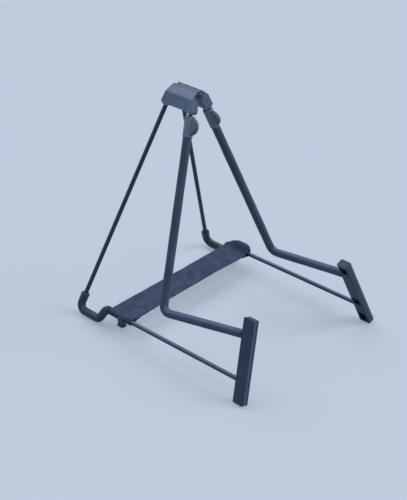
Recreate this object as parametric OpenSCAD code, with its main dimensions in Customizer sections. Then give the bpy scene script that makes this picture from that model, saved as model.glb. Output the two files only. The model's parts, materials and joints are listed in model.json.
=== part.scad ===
// Folding A-frame guitar stand.
// Two mirrored side frames hang from a moulded hinge at the top and lean
// outward. Each frame has a front rod under a soft hose, a rear rod that ends
// in a rubber foot, and an upright end block that holds both rods. A wide
// strap ties the two lower rods together and limits how far the stand opens.
// Front is -Y, up is +Z, the stand rests on z = 0 and x = 0 is its mid plane.

/* [Stance] */
// Height of the hinge axis above the floor
hinge_height = 320; // [280:1:360]
// Outward lean of each side frame, in degrees
lean = 21.5; // [18:0.5:25]
// Distance from the hinge axis to the plane of each side frame
frame_gap = 6; // [5.5:0.1:8]

/* [Rods] */
// Diameter of the steel rods
rod_d = 6; // [5:0.5:7]
// Forward lean of the front rod within its frame, in degrees
front_lean = 8.8; // [6:0.2:12]
// How far ahead of the hinge middle the front rod's line starts
front_reach = 11; // [9:0.5:13]
// Height of the front rod's elbow above the floor
elbow_height = 56.5; // [48:0.5:75]
// Upward slope of the forward arm, in degrees
arm_rise = 10.7; // [6:0.1:14]
// Length of the forward arm from the elbow to the middle of the end block
arm_length = 145.5; // [120:0.5:170]
// Radius of the elbow, measured to the middle of the rod
elbow_bend = 10; // [8:1:20]
// Rearward lean of the rear rod within its frame, in degrees
rear_lean = 11.4; // [9:0.2:14]
// How far behind the hinge middle the rear rod's line starts
rear_reach = 24.8; // [23:0.2:26]
// Depth below hinge level at which the front rod's top end sits
front_rod_top = 9.5; // [9:0.5:12]
// Depth below hinge level at which the rear rod's top end sits
rear_rod_top = 10; // [8:0.5:14]

/* [Rear feet] */
// Outer diameter of the rubber foot sleeve
sleeve_d = 11.6; // [9:0.1:14]
// Length of rod that runs along the floor
foot_run = 41; // [34:1:60]
// Radius of the rear bend, measured to the middle of the rod
foot_bend = 9.5; // [8:0.5:16]
// Height by which the rod steps up in front of the foot
jog_rise = 18.5; // [14:0.5:21]
// Length along the floor over which the rod steps up
jog_run = 9; // [8:0.5:14]
// Radius of the two bends of the step
jog_bend = 8; // [7:0.5:9]
// Upward slope of the lower rod from the step to the end block, in degrees
lower_rise = 1; // [0.5:0.1:3]
// Length of sleeve that climbs the rear rod above the floor run
sleeve_climb = 26; // [18:1:40]
// Length of sleeve on the lower rod in front of the step
sleeve_ahead = 6; // [5.5:0.5:8]

/* [Hose] */
// Outer diameter of the soft hose on the front rod and arm
hose_d = 11.6; // [9:0.1:14]

/* [End blocks] */
// Height of the end block's top above the arm, along the side frame
block_above_arm = 21; // [14:1:40]
// Width of the end block from its guitar side to its front
block_width = 18; // [16:0.5:26]
// Thickness of the end block
block_thickness = 11; // [9.5:0.5:14]
// Forward lean of the end block within its frame, in degrees
block_lean = 9.6; // [5:0.2:13]
// Rounding of the end block's long edges
block_round = 2.2; // [1:0.1:3]
// Rounding of the end block's foot
foot_round = 2.5; // [1:0.5:6]
// Depth of the moulded pockets in the inner face
pocket_depth = 6.5; // [3:0.5:7.5]

/* [Hinged head] */
// Length of the hinge barrel
barrel_length = 37; // [30:1:44]
// Outer diameter of the hinge barrel
barrel_d = 12.6; // [11:0.2:14]
// Number of knuckles along the barrel
knuckles = 5; // [3:2:7]
// Diameter of the hinge pin
pin_d = 5; // [4:0.5:6]
// Distance from the hinge axis to the outer face of a head leaf
leaf_outer = 13.2; // [12:0.2:16]
// Height of a head leaf below the hinge axis
leaf_drop = 26.5; // [24:0.5:34]
// Thickness of the screwed clamp plate inside each head leaf
clamp_thickness = 4.6; // [4.2:0.1:5]

/* [Collars and bumpers] */
// Wall of the collar where it holds the hose's end
collar_wall = 0.9; // [0.7:0.1:2]
// Gap between the head leaf and the collar
collar_gap = 2.5; // [1:0.5:6]
// Length of the collar
collar_length = 27; // [26:1:34]
// Diameter of the soft bumper disc
bumper_d = 23; // [18:1:26]
// Thickness of the soft bumper disc
bumper_thickness = 7; // [6:0.5:11]
// How far ahead of the front rod the bumper's middle sits
bumper_forward = 4; // [3:0.2:7]

/* [Strap] */
// Width of the strap
strap_width = 43; // [36:1:50]
// Thickness of the strap
strap_thickness = 1.4; // [1:0.1:2.4]
// Gap between the strap's left loop and the foot sleeve behind it
strap_left_gap = 1.8; // [1:0.1:8]
// Gap between the strap's right loop and the foot sleeve behind it
strap_right_gap = 5.4; // [3:0.1:8]
// Length of the doubled and sewn part at each end of the strap
strap_lap = 16; // [14:1:26]
// Inner radius of the looser loop at the strap's right end
loose_loop = 7.9; // [7:0.1:8.4]
// Amount by which the looser loop is narrower than the strap at its rear edge
rear_taper = 10; // [8:0.5:12]
// Amount by which the looser loop is narrower than the strap at its front edge
front_taper = 4; // [2:0.5:6]

/* [Hidden] */
$fn = 48;

head_grey = [0.42, 0.46, 0.54];
rod_black = [0.12, 0.14, 0.18];
hose_navy = [0.17, 0.21, 0.29];
block_black = [0.15, 0.18, 0.25];
rubber_black = [0.13, 0.15, 0.20];
strap_slate = [0.28, 0.32, 0.40];
steel_grey = [0.55, 0.57, 0.60];

left = -1;
right = 1;
far = 600;
grip = 0.05;
running = 0.05;
seat = 0.3;
skin = 0.2;
bend_swell = 0.03;
bend_overlap = 0.3;
foot_trim = 1.2;
rod_end_wall = 4;

rod_r = rod_d / 2;
hose_r = hose_d / 2;
sleeve_r = sleeve_d / 2;
collar_r = hose_r + grip + collar_wall;
pin_r = pin_d / 2;
barrel_r = barrel_d / 2;

// Side frame outline as [y, z] points: y runs back and z runs up the frame
// from the hinge axis.
function slope_back(depth, angle) = depth * tan(angle);
floor_depth = (hinge_height + frame_gap * sin(lean) - sleeve_r) / cos(lean);
front_top = [-front_reach - slope_back(front_rod_top, front_lean), -front_rod_top];
elbow_depth = (hinge_height + frame_gap * sin(lean) - elbow_height) / cos(lean);
elbow = [-front_reach - slope_back(elbow_depth, front_lean), -elbow_depth];
arm_end = elbow + arm_length * [-cos(arm_rise), sin(arm_rise)];
rear_top = [rear_reach + slope_back(rear_rod_top, rear_lean), -rear_rod_top];
rear_corner = [rear_reach + slope_back(floor_depth, rear_lean), -floor_depth];
run_end = rear_corner - [foot_run, 0];
step_top = run_end + [-jog_run, jog_rise];

// The end block's middle line crosses the arm's end and leans forward.
block_top_z = arm_end[1] + block_above_arm;
function block_line(z) = [arm_end[0] - (arm_end[1] - z) * tan(block_lean), z];
block_half = block_width / 2 / cos(block_lean);
lower_span = (step_top[0] - block_line(step_top[1])[0])
    / (1 - tan(lower_rise) * tan(block_lean));
lower_end = step_top + lower_span * [-1, tan(lower_rise)];
rod_seat = block_width / 2 - rod_end_wall;
front_tip = arm_end + rod_seat * [-cos(arm_rise), sin(arm_rise)];
lower_tip = lower_end + rod_seat * [-cos(lower_rise), sin(lower_rise)];

front_path = [front_top, elbow, front_tip];
front_bends = [0, elbow_bend, 0];
rear_path = [rear_top, rear_corner, run_end, step_top, lower_tip];
rear_bends = [0, foot_bend, jog_bend, jog_bend, 0];

// The end block ends a little below the floor along its inner edge, where it
// is trimmed flat. The hinge sits so that the stand's front and back lie at
// equal distances from y = 0.
block_inner = frame_gap - block_thickness / 2;
block_low = -(hinge_height + block_inner * sin(lean)) / cos(lean) - foot_trim;
rear_turn = 90 + rear_lean;
rear_end = rear_corner[0] - foot_bend * (tan(rear_turn / 2) - 1) + sleeve_r;
front_end = block_line(block_low + foot_round)[0] - block_half
    + foot_round / cos(block_lean) - foot_round;
hinge_y = -(rear_end + front_end) / 2;

// Closed outline with its corners rounded; each radius belongs to the corner
// of the same index.
function unit(v) = v / norm(v);
function corner_arc(a, b, c, r, n) =
    let (u = unit(a - b), w = unit(c - b))
    let (half = acos(max(-1, min(1, u * w))) / 2)
    let (centre = b + unit(u + w) * r / sin(half))
    let (p = b + u * r / tan(half), q = b + w * r / tan(half))
    let (a0 = atan2(p[1] - centre[1], p[0] - centre[0]))
    let (a1 = atan2(q[1] - centre[1], q[0] - centre[0]))
    let (sweep = (a1 - a0 > 180) ? a1 - a0 - 360 : (a1 - a0 < -180) ? a1 - a0 + 360 : a1 - a0)
    [for (i = [0:n]) centre + r * [cos(a0 + sweep * i / n), sin(a0 + sweep * i / n)]];
function rounded(pts, radii, n = 6) = [
    for (i = [0:len(pts) - 1])
        let (a = pts[(i + len(pts) - 1) % len(pts)], c = pts[(i + 1) % len(pts)])
        for (p = radii[i] > 0 ? corner_arc(a, pts[i], c, radii[i], n) : [pts[i]]) p
];

// Puts a shape drawn in a frame's own axes on the left or right side. In a
// frame's axes x points outward, y back and z up, from the hinge's middle.
module on_side(side) {
    translate([0, hinge_y, hinge_height])
        mirror([side == left ? 1 : 0, 0, 0])
            rotate([0, -lean, 0])
                children();
}

// Turns a drawing in x and y into the frame's y and z, at the given distance
// from the hinge axis; its height then points outward.
module in_frame(x = frame_gap) {
    translate([x, 0, 0])
        rotate([90, 0, 90])
            children();
}

// Round bar along a path, with each inner corner bent to its radius. A bend is
// slightly fuller than the straights, which run a little way into it.
function turn_at(path, i) =
    let (u = path[i] - path[i - 1], w = path[i + 1] - path[i])
    atan2(u[0] * w[1] - u[1] * w[0], u * w);
function trim_at(path, bends, i) =
    (i == 0 || i == len(path) - 1) ? 0 : bends[i] * tan(abs(turn_at(path, i)) / 2);
function into_bend(path, i) = (i == 0 || i == len(path) - 1) ? 0 : bend_overlap;
module bent_bar(path, bends, r) {
    for (i = [0:len(path) - 2]) {
        along = unit(path[i + 1] - path[i]);
        start = path[i] + along * (trim_at(path, bends, i) - into_bend(path, i));
        stop = path[i + 1] - along * (trim_at(path, bends, i + 1) - into_bend(path, i + 1));
        translate([start[0], start[1], 0])
            rotate([0, 90, atan2(along[1], along[0])])
                cylinder(r = r, h = norm(stop - start));
    }
    for (i = [1:1:len(path) - 2]) {
        along = unit(path[i] - path[i - 1]);
        turn = turn_at(path, i);
        inward = turn > 0 ? [-along[1], along[0]] : [along[1], -along[0]];
        start = path[i] - along * trim_at(path, bends, i);
        centre = start + inward * bends[i];
        heading = atan2(-inward[1], -inward[0]);
        translate([centre[0], centre[1], 0])
            rotate([0, 0, turn > 0 ? heading : heading + turn])
                rotate_extrude(angle = abs(turn))
                    translate([bends[i], 0])
                        circle(r = r + bend_swell);
    }
}

// Rods
module front_rod(side) {
    color(rod_black)
        on_side(side) in_frame()
            bent_bar(front_path, front_bends, rod_r);
}

module rear_rod(side) {
    color(rod_black)
        on_side(side) in_frame()
            bent_bar(rear_path, rear_bends, rod_r);
}

// Head leaf: outline of the moulded outer half, seen from the side. Its lower
// edge is raised by leaf_arch between the front and the rear lug.
leaf_corner = 4;
leaf_arch = 2.5;
leaf_front_wall = 1.5;
leaf_rear_wall = 2.6;
front_lug = 13;
rear_lug = 18;
leaf_front_low = -front_reach - slope_back(leaf_drop - leaf_corner, front_lean) - hose_r - leaf_front_wall;
leaf_rear_low = rear_reach + slope_back(leaf_drop - leaf_corner, rear_lean) + rod_r + leaf_rear_wall;
leaf_front_top = -front_reach - hose_r;
leaf_rear_top = rear_reach + rod_r - 0.4;
leaf_outline = rounded(
    [
        [leaf_front_top - 1, barrel_r],
        [leaf_front_top, -leaf_corner],
        [leaf_front_low, -leaf_drop + leaf_corner],
        [leaf_front_low + 2.5, -leaf_drop],
        [leaf_front_low + front_lug, -leaf_drop + leaf_arch],
        [leaf_rear_low - rear_lug, -leaf_drop + leaf_arch],
        [leaf_rear_low - 7, -leaf_drop],
        [leaf_rear_low, -leaf_drop + 4.5],
        [leaf_rear_top, barrel_r - 3.5],
        [leaf_rear_top - 5, barrel_r]
    ],
    [2, 6, 2, 2, 6, 6, 2.5, 2.5, 3, 4]
);
leaf_inner = frame_gap - clamp_thickness - 0.5;
parting = frame_gap + 0.1;
// Cross-section of a head leaf: flat inner side, sloping shoulder, flat cheek.
shoulder_z = barrel_r - 1;
cheek_top = -barrel_r - 1.5;
shoulder_run = 8;
leaf_section = rounded(
    [
        [1.5, shoulder_z],
        [0.5, -barrel_r + 1.5],
        [leaf_inner, cheek_top],
        [leaf_inner, -leaf_drop - 1],
        [leaf_outer - 1, -leaf_drop - 1],
        [leaf_outer, cheek_top],
        [leaf_outer - shoulder_run, shoulder_z]
    ],
    [0, 0, 0.8, 0, 0, 5, 3]
);
clamp_top = cheek_top - 0.7;

// Small pan-head screws with a cross recess.
screw_d = 3;
screw_length = 9.5;
screw_head_d = 5.4;
head_room = 0.4;
recess_width = 0.8;
recess_length = 3;
clamp_head = 2;
clamp_spots = [[-2.5, -15.5], [16, -15.5]];

module leaf_solid() {
    intersection() {
        in_frame(0)
            linear_extrude(height = leaf_outer + 1)
                polygon(leaf_outline);
        translate([0, far / 2, 0])
            rotate([90, 0, 0])
                linear_extrude(height = far)
                    polygon(leaf_section);
    }
}

// Knuckles of the hinge barrel, which belong to the leaves in turn.
knuckle_air = 0.4;
function knuckle_start(i) = -barrel_length / 2 + i * barrel_length / knuckles;
function owns(side, i) = (i % 2 == 0) == (side == right);

// Lengths of hinge line, as [start, stop], where a leaf makes way for the
// other leaf's knuckles and for what lies beyond the barrel's ends.
function gap_start(i) = i <= 0 ? -far / 2 : knuckle_start(i) - skin / 2;
function gap_stop(i) = i >= knuckles - 1 ? far / 2 : knuckle_start(i + 1) + skin / 2;
function gap_list(side) = side == left
    ? [for (i = [0:2:knuckles - 1]) [gap_start(i), gap_stop(i)]]
    : [for (i = [-1:2:knuckles]) [
        i == knuckles ? knuckle_start(knuckles) : gap_start(i),
        i < 0 ? knuckle_start(0) : gap_stop(i)
    ]];
module along_hinge(y, length, r) {
    translate([0, y + length, 0])
        rotate([90, 0, 0])
            cylinder(r = r, h = length);
}

rear_dir = unit(rear_corner - rear_top);
module rod_channels() {
    in_frame()
        for (rod = [[front_top, leg_dir], [rear_top, rear_dir]])
            bent_bar([rod[0] - rod[1] * skin, rod[0] + rod[1] * 2 * leaf_drop],
                [0, 0], rod_r + grip);
}

module head_leaf(side) {
    color(head_grey)
        on_side(side) difference() {
            union() {
                leaf_solid();
                for (i = [0:knuckles - 1])
                    if (owns(side, i))
                        along_hinge(knuckle_start(i) + skin / 2,
                            barrel_length / knuckles - skin, barrel_r);
            }
            for (gap = gap_list(side))
                along_hinge(gap[0], gap[1] - gap[0], barrel_r + knuckle_air);
            along_hinge(-far / 2, far, pin_r + running);
            translate([-far + parting, -far / 2, clamp_top - far])
                cube([far, far, far]);
            rod_channels();
            for (spot = clamp_spots)
                translate([frame_gap - 1, spot[0], spot[1]])
                    rotate([0, 90, 0])
                        cylinder(d = screw_d + 0.1, h = screw_length - clamp_thickness + 1.5);
        }
}

// Clamp plate: closes a head leaf from inside and grips both rods.
module clamp_plate(side) {
    color(head_grey)
        on_side(side) difference() {
            intersection() {
                translate([leaf_inner, 0, 0])
                    in_frame(0)
                        linear_extrude(height = clamp_thickness)
                            polygon(leaf_outline);
                translate([-far / 2, -far / 2, clamp_top - skin - far])
                    cube([far, far, far]);
            }
            rod_channels();
            for (spot = clamp_spots)
                translate([leaf_inner, spot[0], spot[1]])
                    rotate([0, 90, 0]) {
                        translate([0, 0, -1])
                            cylinder(d = screw_d + head_room, h = clamp_thickness + 2);
                        translate([0, 0, -1])
                            cylinder(d = screw_head_d + head_room, h = 1 + clamp_head + skin);
                    }
        }
}

module clamp_screws(side) {
    color(steel_grey)
        on_side(side)
            for (spot = clamp_spots)
                translate([leaf_inner + 0.2, spot[0], spot[1]])
                    rotate([0, 90, 0])
                        cross_screw(clamp_head, screw_d, screw_length);
}

// Screw that points along +z, with its head's outer face on z = 0.
module cross_screw(head, d, reach) {
    difference() {
        union() {
            cylinder(d = screw_head_d, h = head);
            cylinder(d = d, h = reach);
        }
        for (turn = [0, 90])
            rotate([0, 0, turn])
                cube([recess_width, recess_length, 2 * recess_width], center = true);
    }
}

// Hinge pin with a domed head in front and a push-on cap behind.
pin_head_d = 7.6;
pin_head = 2.2;
pin_dome = (pin_head_d * pin_head_d / 4 + pin_head * pin_head) / (2 * pin_head);
pin_tail = 4;
cap_length = 3.4;
cap_nose = 1.2;
module hinge_pin() {
    color(steel_grey)
        translate([0, hinge_y, hinge_height]) {
            along_hinge(-barrel_length / 2 - 1, barrel_length + 1 + pin_tail, pin_r);
            intersection() {
                translate([0, -barrel_length / 2 - skin - pin_head + pin_dome, 0])
                    sphere(r = pin_dome);
                along_hinge(-barrel_length / 2 - skin - pin_head, pin_head, pin_head_d / 2);
            }
        }
}

module hinge_pin_cap() {
    color(rod_black)
        translate([0, hinge_y, hinge_height]) difference() {
            union() {
                along_hinge(barrel_length / 2 + skin, cap_length, pin_head_d / 2);
                along_hinge(barrel_length / 2 + skin + cap_length, cap_nose, pin_head_d / 2 - cap_nose);
            }
            along_hinge(barrel_length / 2 - 1, 1 + pin_tail + 0.1, pin_r + 0.01);
        }
}

// Soft hose over the front rod, from the collar to the end block.
leg_dir = unit(elbow - front_top);
arm_dir = unit(arm_end - elbow);
lower_dir = unit(lower_end - step_top);
leaf_edge = (leaf_drop - front_rod_top) / cos(front_lean);
collar_start = leaf_edge + collar_gap;
collar_stop = collar_start + collar_length;
hose_inset = 5;
hose_start = collar_start + hose_inset;
hose_stop = norm(arm_end - elbow) - (block_width / 2) / cos(arm_rise - block_lean) - seat;
module leg_hose(side) {
    path = [front_top + leg_dir * hose_start, elbow, elbow + arm_dir * hose_stop];
    bore = [path[0] - leg_dir, elbow, path[2] + arm_dir];
    color(hose_navy)
        on_side(side) in_frame() difference() {
            bent_bar(path, front_bends, hose_r);
            bent_bar(bore, front_bends, rod_r + grip);
        }
}

// Rubber foot sleeve round the rear bend, the floor run and the step.
module foot_sleeve(side) {
    climb = unit(rear_top - rear_corner);
    path = [rear_corner + climb * sleeve_climb, rear_corner, run_end, step_top,
        step_top + lower_dir * sleeve_ahead];
    bore = [path[0] + climb, rear_corner, run_end, step_top, path[4] + lower_dir];
    color(rubber_black)
        on_side(side) in_frame() difference() {
            bent_bar(path, rear_bends, sleeve_r);
            bent_bar(bore, rear_bends, rod_r + grip);
        }
}

// Collar: moulded ring that holds the hose's top end and carries the bumper.
bumper_at = collar_start + collar_length * 0.48;
stud_r = 2.5;
module on_front_rod(distance) {
    at = front_top + leg_dir * distance;
    translate([frame_gap, at[0], at[1]])
        rotate([-front_lean, 0, 0])
            children();
}
module collar(side) {
    color(head_grey)
        on_side(side) on_front_rod(0) difference() {
            union() {
                translate([0, 0, -collar_stop])
                    cylinder(r = collar_r, h = collar_length);
                translate([0, 0, -bumper_at])
                    rotate([90, 0, 0])
                        cylinder(r = stud_r, h = bumper_forward + 5);
            }
            translate([0, 0, -collar_stop - 1])
                cylinder(r = rod_r + grip, h = collar_length + 2);
            translate([0, 0, -collar_stop - 1])
                cylinder(r = hose_r + grip, h = collar_stop - hose_start + 1 + skin);
        }
}

// Bumper: soft disc in front of the collar, where the guitar's back leans.
bumper_edge = 2.6;
bumper_profile = rounded(
    [
        [0, -bumper_thickness / 2],
        [bumper_d / 2, -bumper_thickness / 2],
        [bumper_d / 2, bumper_thickness / 2],
        [0, bumper_thickness / 2]
    ],
    [0, bumper_edge, bumper_edge, 0]
);
module bumper(side) {
    color(rubber_black)
        on_side(side) on_front_rod(bumper_at) difference() {
            translate([0, -bumper_forward, 0])
                rotate([0, 90, 0])
                    rotate_extrude()
                        polygon(bumper_profile);
            cylinder(r = collar_r + grip, h = far, center = true);
            translate([-far / 2, 0, -far / 2])
                cube([far, far, far]);
            rotate([90, 0, 0])
                cylinder(r = stud_r + grip, h = bumper_forward + 5.2);
        }
}

// End block: upright moulded foot and stop at the front of each side frame.
pocket_rim = 3;
pocket_width = block_width - 2 * pocket_rim;
pockets = [
    [block_top_z - 5, arm_end[1] + rod_r + 2.2],
    [lower_end[1] + rod_r + 15, lower_end[1] + rod_r + 4],
    [lower_end[1] - rod_r - 7, block_low + foot_round + 2]
];
module block_blank() {
    half = block_thickness / 2;
    section = rounded(
        [[-block_width / 2, -half], [block_width / 2, -half],
            [block_width / 2, half], [-block_width / 2, half]],
        [for (i = [0:3]) block_round]
    );
    top = block_line(block_top_z);
    low = block_line(block_low);
    intersection() {
        translate([0, arm_end[0], arm_end[1]])
            rotate([-block_lean, 0, 0])
                rotate([0, 0, 90])
                    linear_extrude(height = far, center = true)
                        polygon(section);
        in_frame(-block_thickness)
            linear_extrude(height = 2 * block_thickness)
                polygon(rounded(
                    [[top[0] - block_half, top[1]], [top[0] + block_half, top[1]],
                        [low[0] + block_half, low[1]], [low[0] - block_half, low[1]]],
                    [2.5, 2.5, foot_round, foot_round]
                ));
    }
}

function pocket_outline(span) = rounded(
    [
        block_line(span[0]) + [-pocket_width / 2, 0],
        block_line(span[0]) + [pocket_width / 2, 0],
        block_line(span[1]) + [pocket_width / 2, 0],
        block_line(span[1]) + [-pocket_width / 2, 0]
    ],
    [1.5, 1.5, 1.5, 1.5]
);
block_screw_spots = [arm_end, lower_end];
block_head = 1.6;
block_screw_d = screw_d - 0.5;
module end_block(side) {
    color(block_black)
        on_side(side) difference() {
            translate([frame_gap, 0, 0])
                block_blank();
            in_frame() {
                bent_bar([elbow, front_tip + skin * arm_dir], [0, 0], rod_r + grip);
                bent_bar([step_top, lower_tip + skin * lower_dir], [0, 0], rod_r + grip);
            }
            for (span = pockets)
                in_frame(block_inner - 1)
                    linear_extrude(height = pocket_depth + 1)
                        polygon(pocket_outline(span));
            for (spot = block_screw_spots)
                translate([block_inner - 1, spot[0], spot[1]])
                    rotate([0, 90, 0]) {
                        cylinder(d = screw_head_d + head_room, h = 1 + block_head + skin);
                        cylinder(d = block_screw_d + 0.1, h = 1 + block_thickness / 2 - rod_r);
                    }
            rotate([0, lean, 0])
                translate([-far / 2, -far, -far - hinge_height])
                    cube([far, 2 * far, far]);
        }
}

// Screws that hold the rod ends, from the inner face of each end block.
module block_screws(side) {
    reach = block_thickness / 2 - rod_r - skin;
    color(steel_grey)
        on_side(side)
            for (spot = block_screw_spots)
                translate([block_inner + 0.1, spot[0], spot[1]])
                    rotate([0, 90, 0])
                        cross_screw(block_head, block_screw_d, reach);
}

// Strap: each end loops round the lower rod and is sewn back under the strap.
// A loop is a ring with an upper and a lower band that meet in the lap; the
// right loop is looser and stands higher than the left one.
band_mid = rod_r + seat + strap_thickness / 2;
ring_mid = [band_mid, loose_loop + strap_thickness / 2];
ring_centre = [[0, 0], [-1.2, loose_loop - rod_r - seat]];
function end_of(side) = side == left ? 0 : 1;
function strap_middle(side) = step_top[0] - sleeve_ahead
    - (side == left ? strap_left_gap + strap_width / 2
        : strap_right_gap + strap_width / 2 - rear_taper);
module on_lower_rod(side) {
    middle = strap_middle(side);
    back = step_top[0] - middle;
    on_side(side)
        translate([frame_gap, middle, step_top[1] + back * tan(lower_rise)])
            rotate([-lower_rise, 0, 0])
                rotate([0, lean, 0])
                    rotate([90, 0, 0])
                        children();
}

// Direction from a ring's middle to where a line from a point touches it, and
// the point where two lines cross, each given by a point and a direction.
function touch_angle(p, centre, r, way) =
    let (d = p - centre, a = atan2(d[1], d[0]))
    (a < 0 ? a + 360 : a) + way * acos(r / norm(d));
function crossing(a, u, b, w) =
    a + u * ((b[0] - a[0]) * w[1] - (b[1] - a[1]) * w[0]) / (u[0] * w[1] - u[1] * w[0]);
function arc(centre, r, start, stop, steps) = [
    for (i = [0:steps])
        let (angle = start + (stop - start) * i / steps)
        centre + r * [cos(angle), sin(angle)]
];
loop_steps = 36;
module strap_profile(centre, r) {
    half = strap_thickness / 2;
    upper = [-strap_lap, band_mid];
    lower = [-strap_lap, band_mid - half];
    upper_angle = touch_angle(upper, centre, r, -1);
    lower_angle = touch_angle(lower, centre, r, 1) - 360;
    inner = arc(centre, r - half, upper_angle, lower_angle, loop_steps);
    outward = [for (a = [upper_angle, lower_angle]) half * [cos(a), sin(a)]];
    throat = crossing(
        inner[0], unit(upper - outward[0] - inner[0]),
        inner[loop_steps], unit(lower - outward[1] - inner[loop_steps])
    );
    outer = arc(centre, r + half, upper_angle, lower_angle, loop_steps);
    ends = [
        crossing(outer[0], upper + outward[0] - outer[0], upper, [0, 1]),
        crossing(outer[loop_steps], lower + outward[1] - outer[loop_steps], lower, [0, 1])
    ];
    difference() {
        polygon(concat([ends[0]], outer, [ends[1]]));
        polygon(concat(inner, [throat]));
    }
}

// Plan of the right loop: full width at the lap, narrower round the rod. The
// narrowing starts far enough inboard to pass the foot sleeve behind the loop.
taper_start = -sleeve_r - rear_taper + 2;
front_slope = 2;
taper_round = 4;
module tapered_plan() {
    edge = strap_width / 2;
    polygon(rounded(
        [
            [-far, -edge], [taper_start, -edge],
            [taper_start + front_slope * front_taper, front_taper - edge],
            [far, front_taper - edge], [far, edge - rear_taper],
            [taper_start + rear_taper, edge - rear_taper], [taper_start, edge], [-far, edge]
        ],
        [0, taper_round, taper_round, 0, 0, taper_round, taper_round, 0]
    ));
}
module strap_loop(side) {
    color(strap_slate)
        on_lower_rod(side)
            intersection() {
                linear_extrude(height = strap_width, center = true)
                    strap_profile(ring_centre[end_of(side)], ring_mid[end_of(side)]);
                if (side == right)
                    rotate([-90, 0, 0])
                        linear_extrude(height = far, center = true)
                            tapered_plan();
            }
}

function rod_spot(side) =
    let (middle = strap_middle(side))
    let (z = step_top[1] + (step_top[0] - middle) * tan(lower_rise))
    [side * (frame_gap * cos(lean) - z * sin(lean)), hinge_y + middle,
        hinge_height + frame_gap * sin(lean) + z * cos(lean)];

module strap_web() {
    band_low = band_mid - strap_thickness / 2;
    a = rod_spot(left) + [strap_lap + seat, 0, band_low];
    b = rod_spot(right) + [-strap_lap - seat, 0, band_low];
    tilt = atan2(b[2] - a[2], b[0] - a[0]);
    shift = strap_width / 2;
    color(strap_slate)
        translate([0, 0, a[2] - a[0] * tan(tilt)])
            rotate([0, -tilt, 0])
                linear_extrude(height = strap_thickness)
                    polygon([
                        [a[0], a[1] - shift], [b[0], b[1] - shift],
                        [b[0], b[1] + shift], [a[0], a[1] + shift]
                    ]);
}

// Clip: moulded keeper that saddles the loop from below, with a stem and pad.
clip_width = 10;
clip_drop = 11.6;
clip_wall = 1.6;
clip_ahead = 4;
stem_width = 5;
pad_reach = [-1.5, 7.5];
pad_height = 3.2;
pad_round = 1.2;
module clip_profile(centre, r) {
    difference() {
        union() {
            translate(centre)
                circle(r = r + clip_wall);
            translate([0.5, -clip_drop + 1])
                square([stem_width, clip_drop]);
        }
        translate(centre)
            circle(r = r + grip);
        polygon([
            [-4 * r, -4 * r], [centre[0] - 0.22 * r, -4 * r], [centre[0] - 0.22 * r, centre[1] - 0.2 * r],
            [centre[0] + r - 1, centre[1] + 0.4 * r], [4 * r, centre[1] + 0.4 * r],
            [4 * r, 4 * r], [-4 * r, 4 * r]
        ]);
    }
    polygon(rounded(
        [
            [pad_reach[0], -clip_drop], [pad_reach[1], -clip_drop],
            [pad_reach[1], -clip_drop + pad_height], [pad_reach[0], -clip_drop + pad_height]
        ],
        [for (i = [0:3]) pad_round]
    ));
}
module strap_clip(side) {
    centre = ring_centre[end_of(side)];
    r = ring_mid[end_of(side)] + strap_thickness / 2;
    color(rubber_black)
        on_lower_rod(side)
            translate([0, 0, clip_ahead])
                linear_extrude(height = clip_width, center = true)
                    clip_profile(centre, r);
}

head_leaf(left);  // left_head_leaf
head_leaf(right);  // right_head_leaf
hinge_pin();
hinge_pin_cap();
clamp_plate(left);  // left_clamp_plate
clamp_plate(right);  // right_clamp_plate
clamp_screws(left);  // left_clamp_screws
clamp_screws(right);  // right_clamp_screws
front_rod(left);  // left_front_rod
front_rod(right);  // right_front_rod
rear_rod(left);  // left_rear_rod
rear_rod(right);  // right_rear_rod
leg_hose(left);  // left_leg_hose
leg_hose(right);  // right_leg_hose
foot_sleeve(left);  // left_foot_sleeve
foot_sleeve(right);  // right_foot_sleeve
collar(left);  // left_collar
collar(right);  // right_collar
bumper(left);  // left_bumper
bumper(right);  // right_bumper
end_block(left);  // left_end_block
end_block(right);  // right_end_block
block_screws(left);  // left_block_screws
block_screws(right);  // right_block_screws
strap_loop(left);  // left_strap_loop
strap_loop(right);  // right_strap_loop
strap_web();
strap_clip(left);  // left_strap_clip
strap_clip(right);  // right_strap_clip
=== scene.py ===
"""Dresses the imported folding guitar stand: soft pieces, finishes, stage, light and camera.

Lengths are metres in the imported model's frame: -Y is the front, +Z is up, and the
floor is at z = 0. A side frame's own axes are x outward, y back and z up, from the
middle of the hinge.
"""
import json
import logging
import math
from dataclasses import dataclass, field
from enum import Enum
from typing import Callable, ClassVar, Sequence

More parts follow.
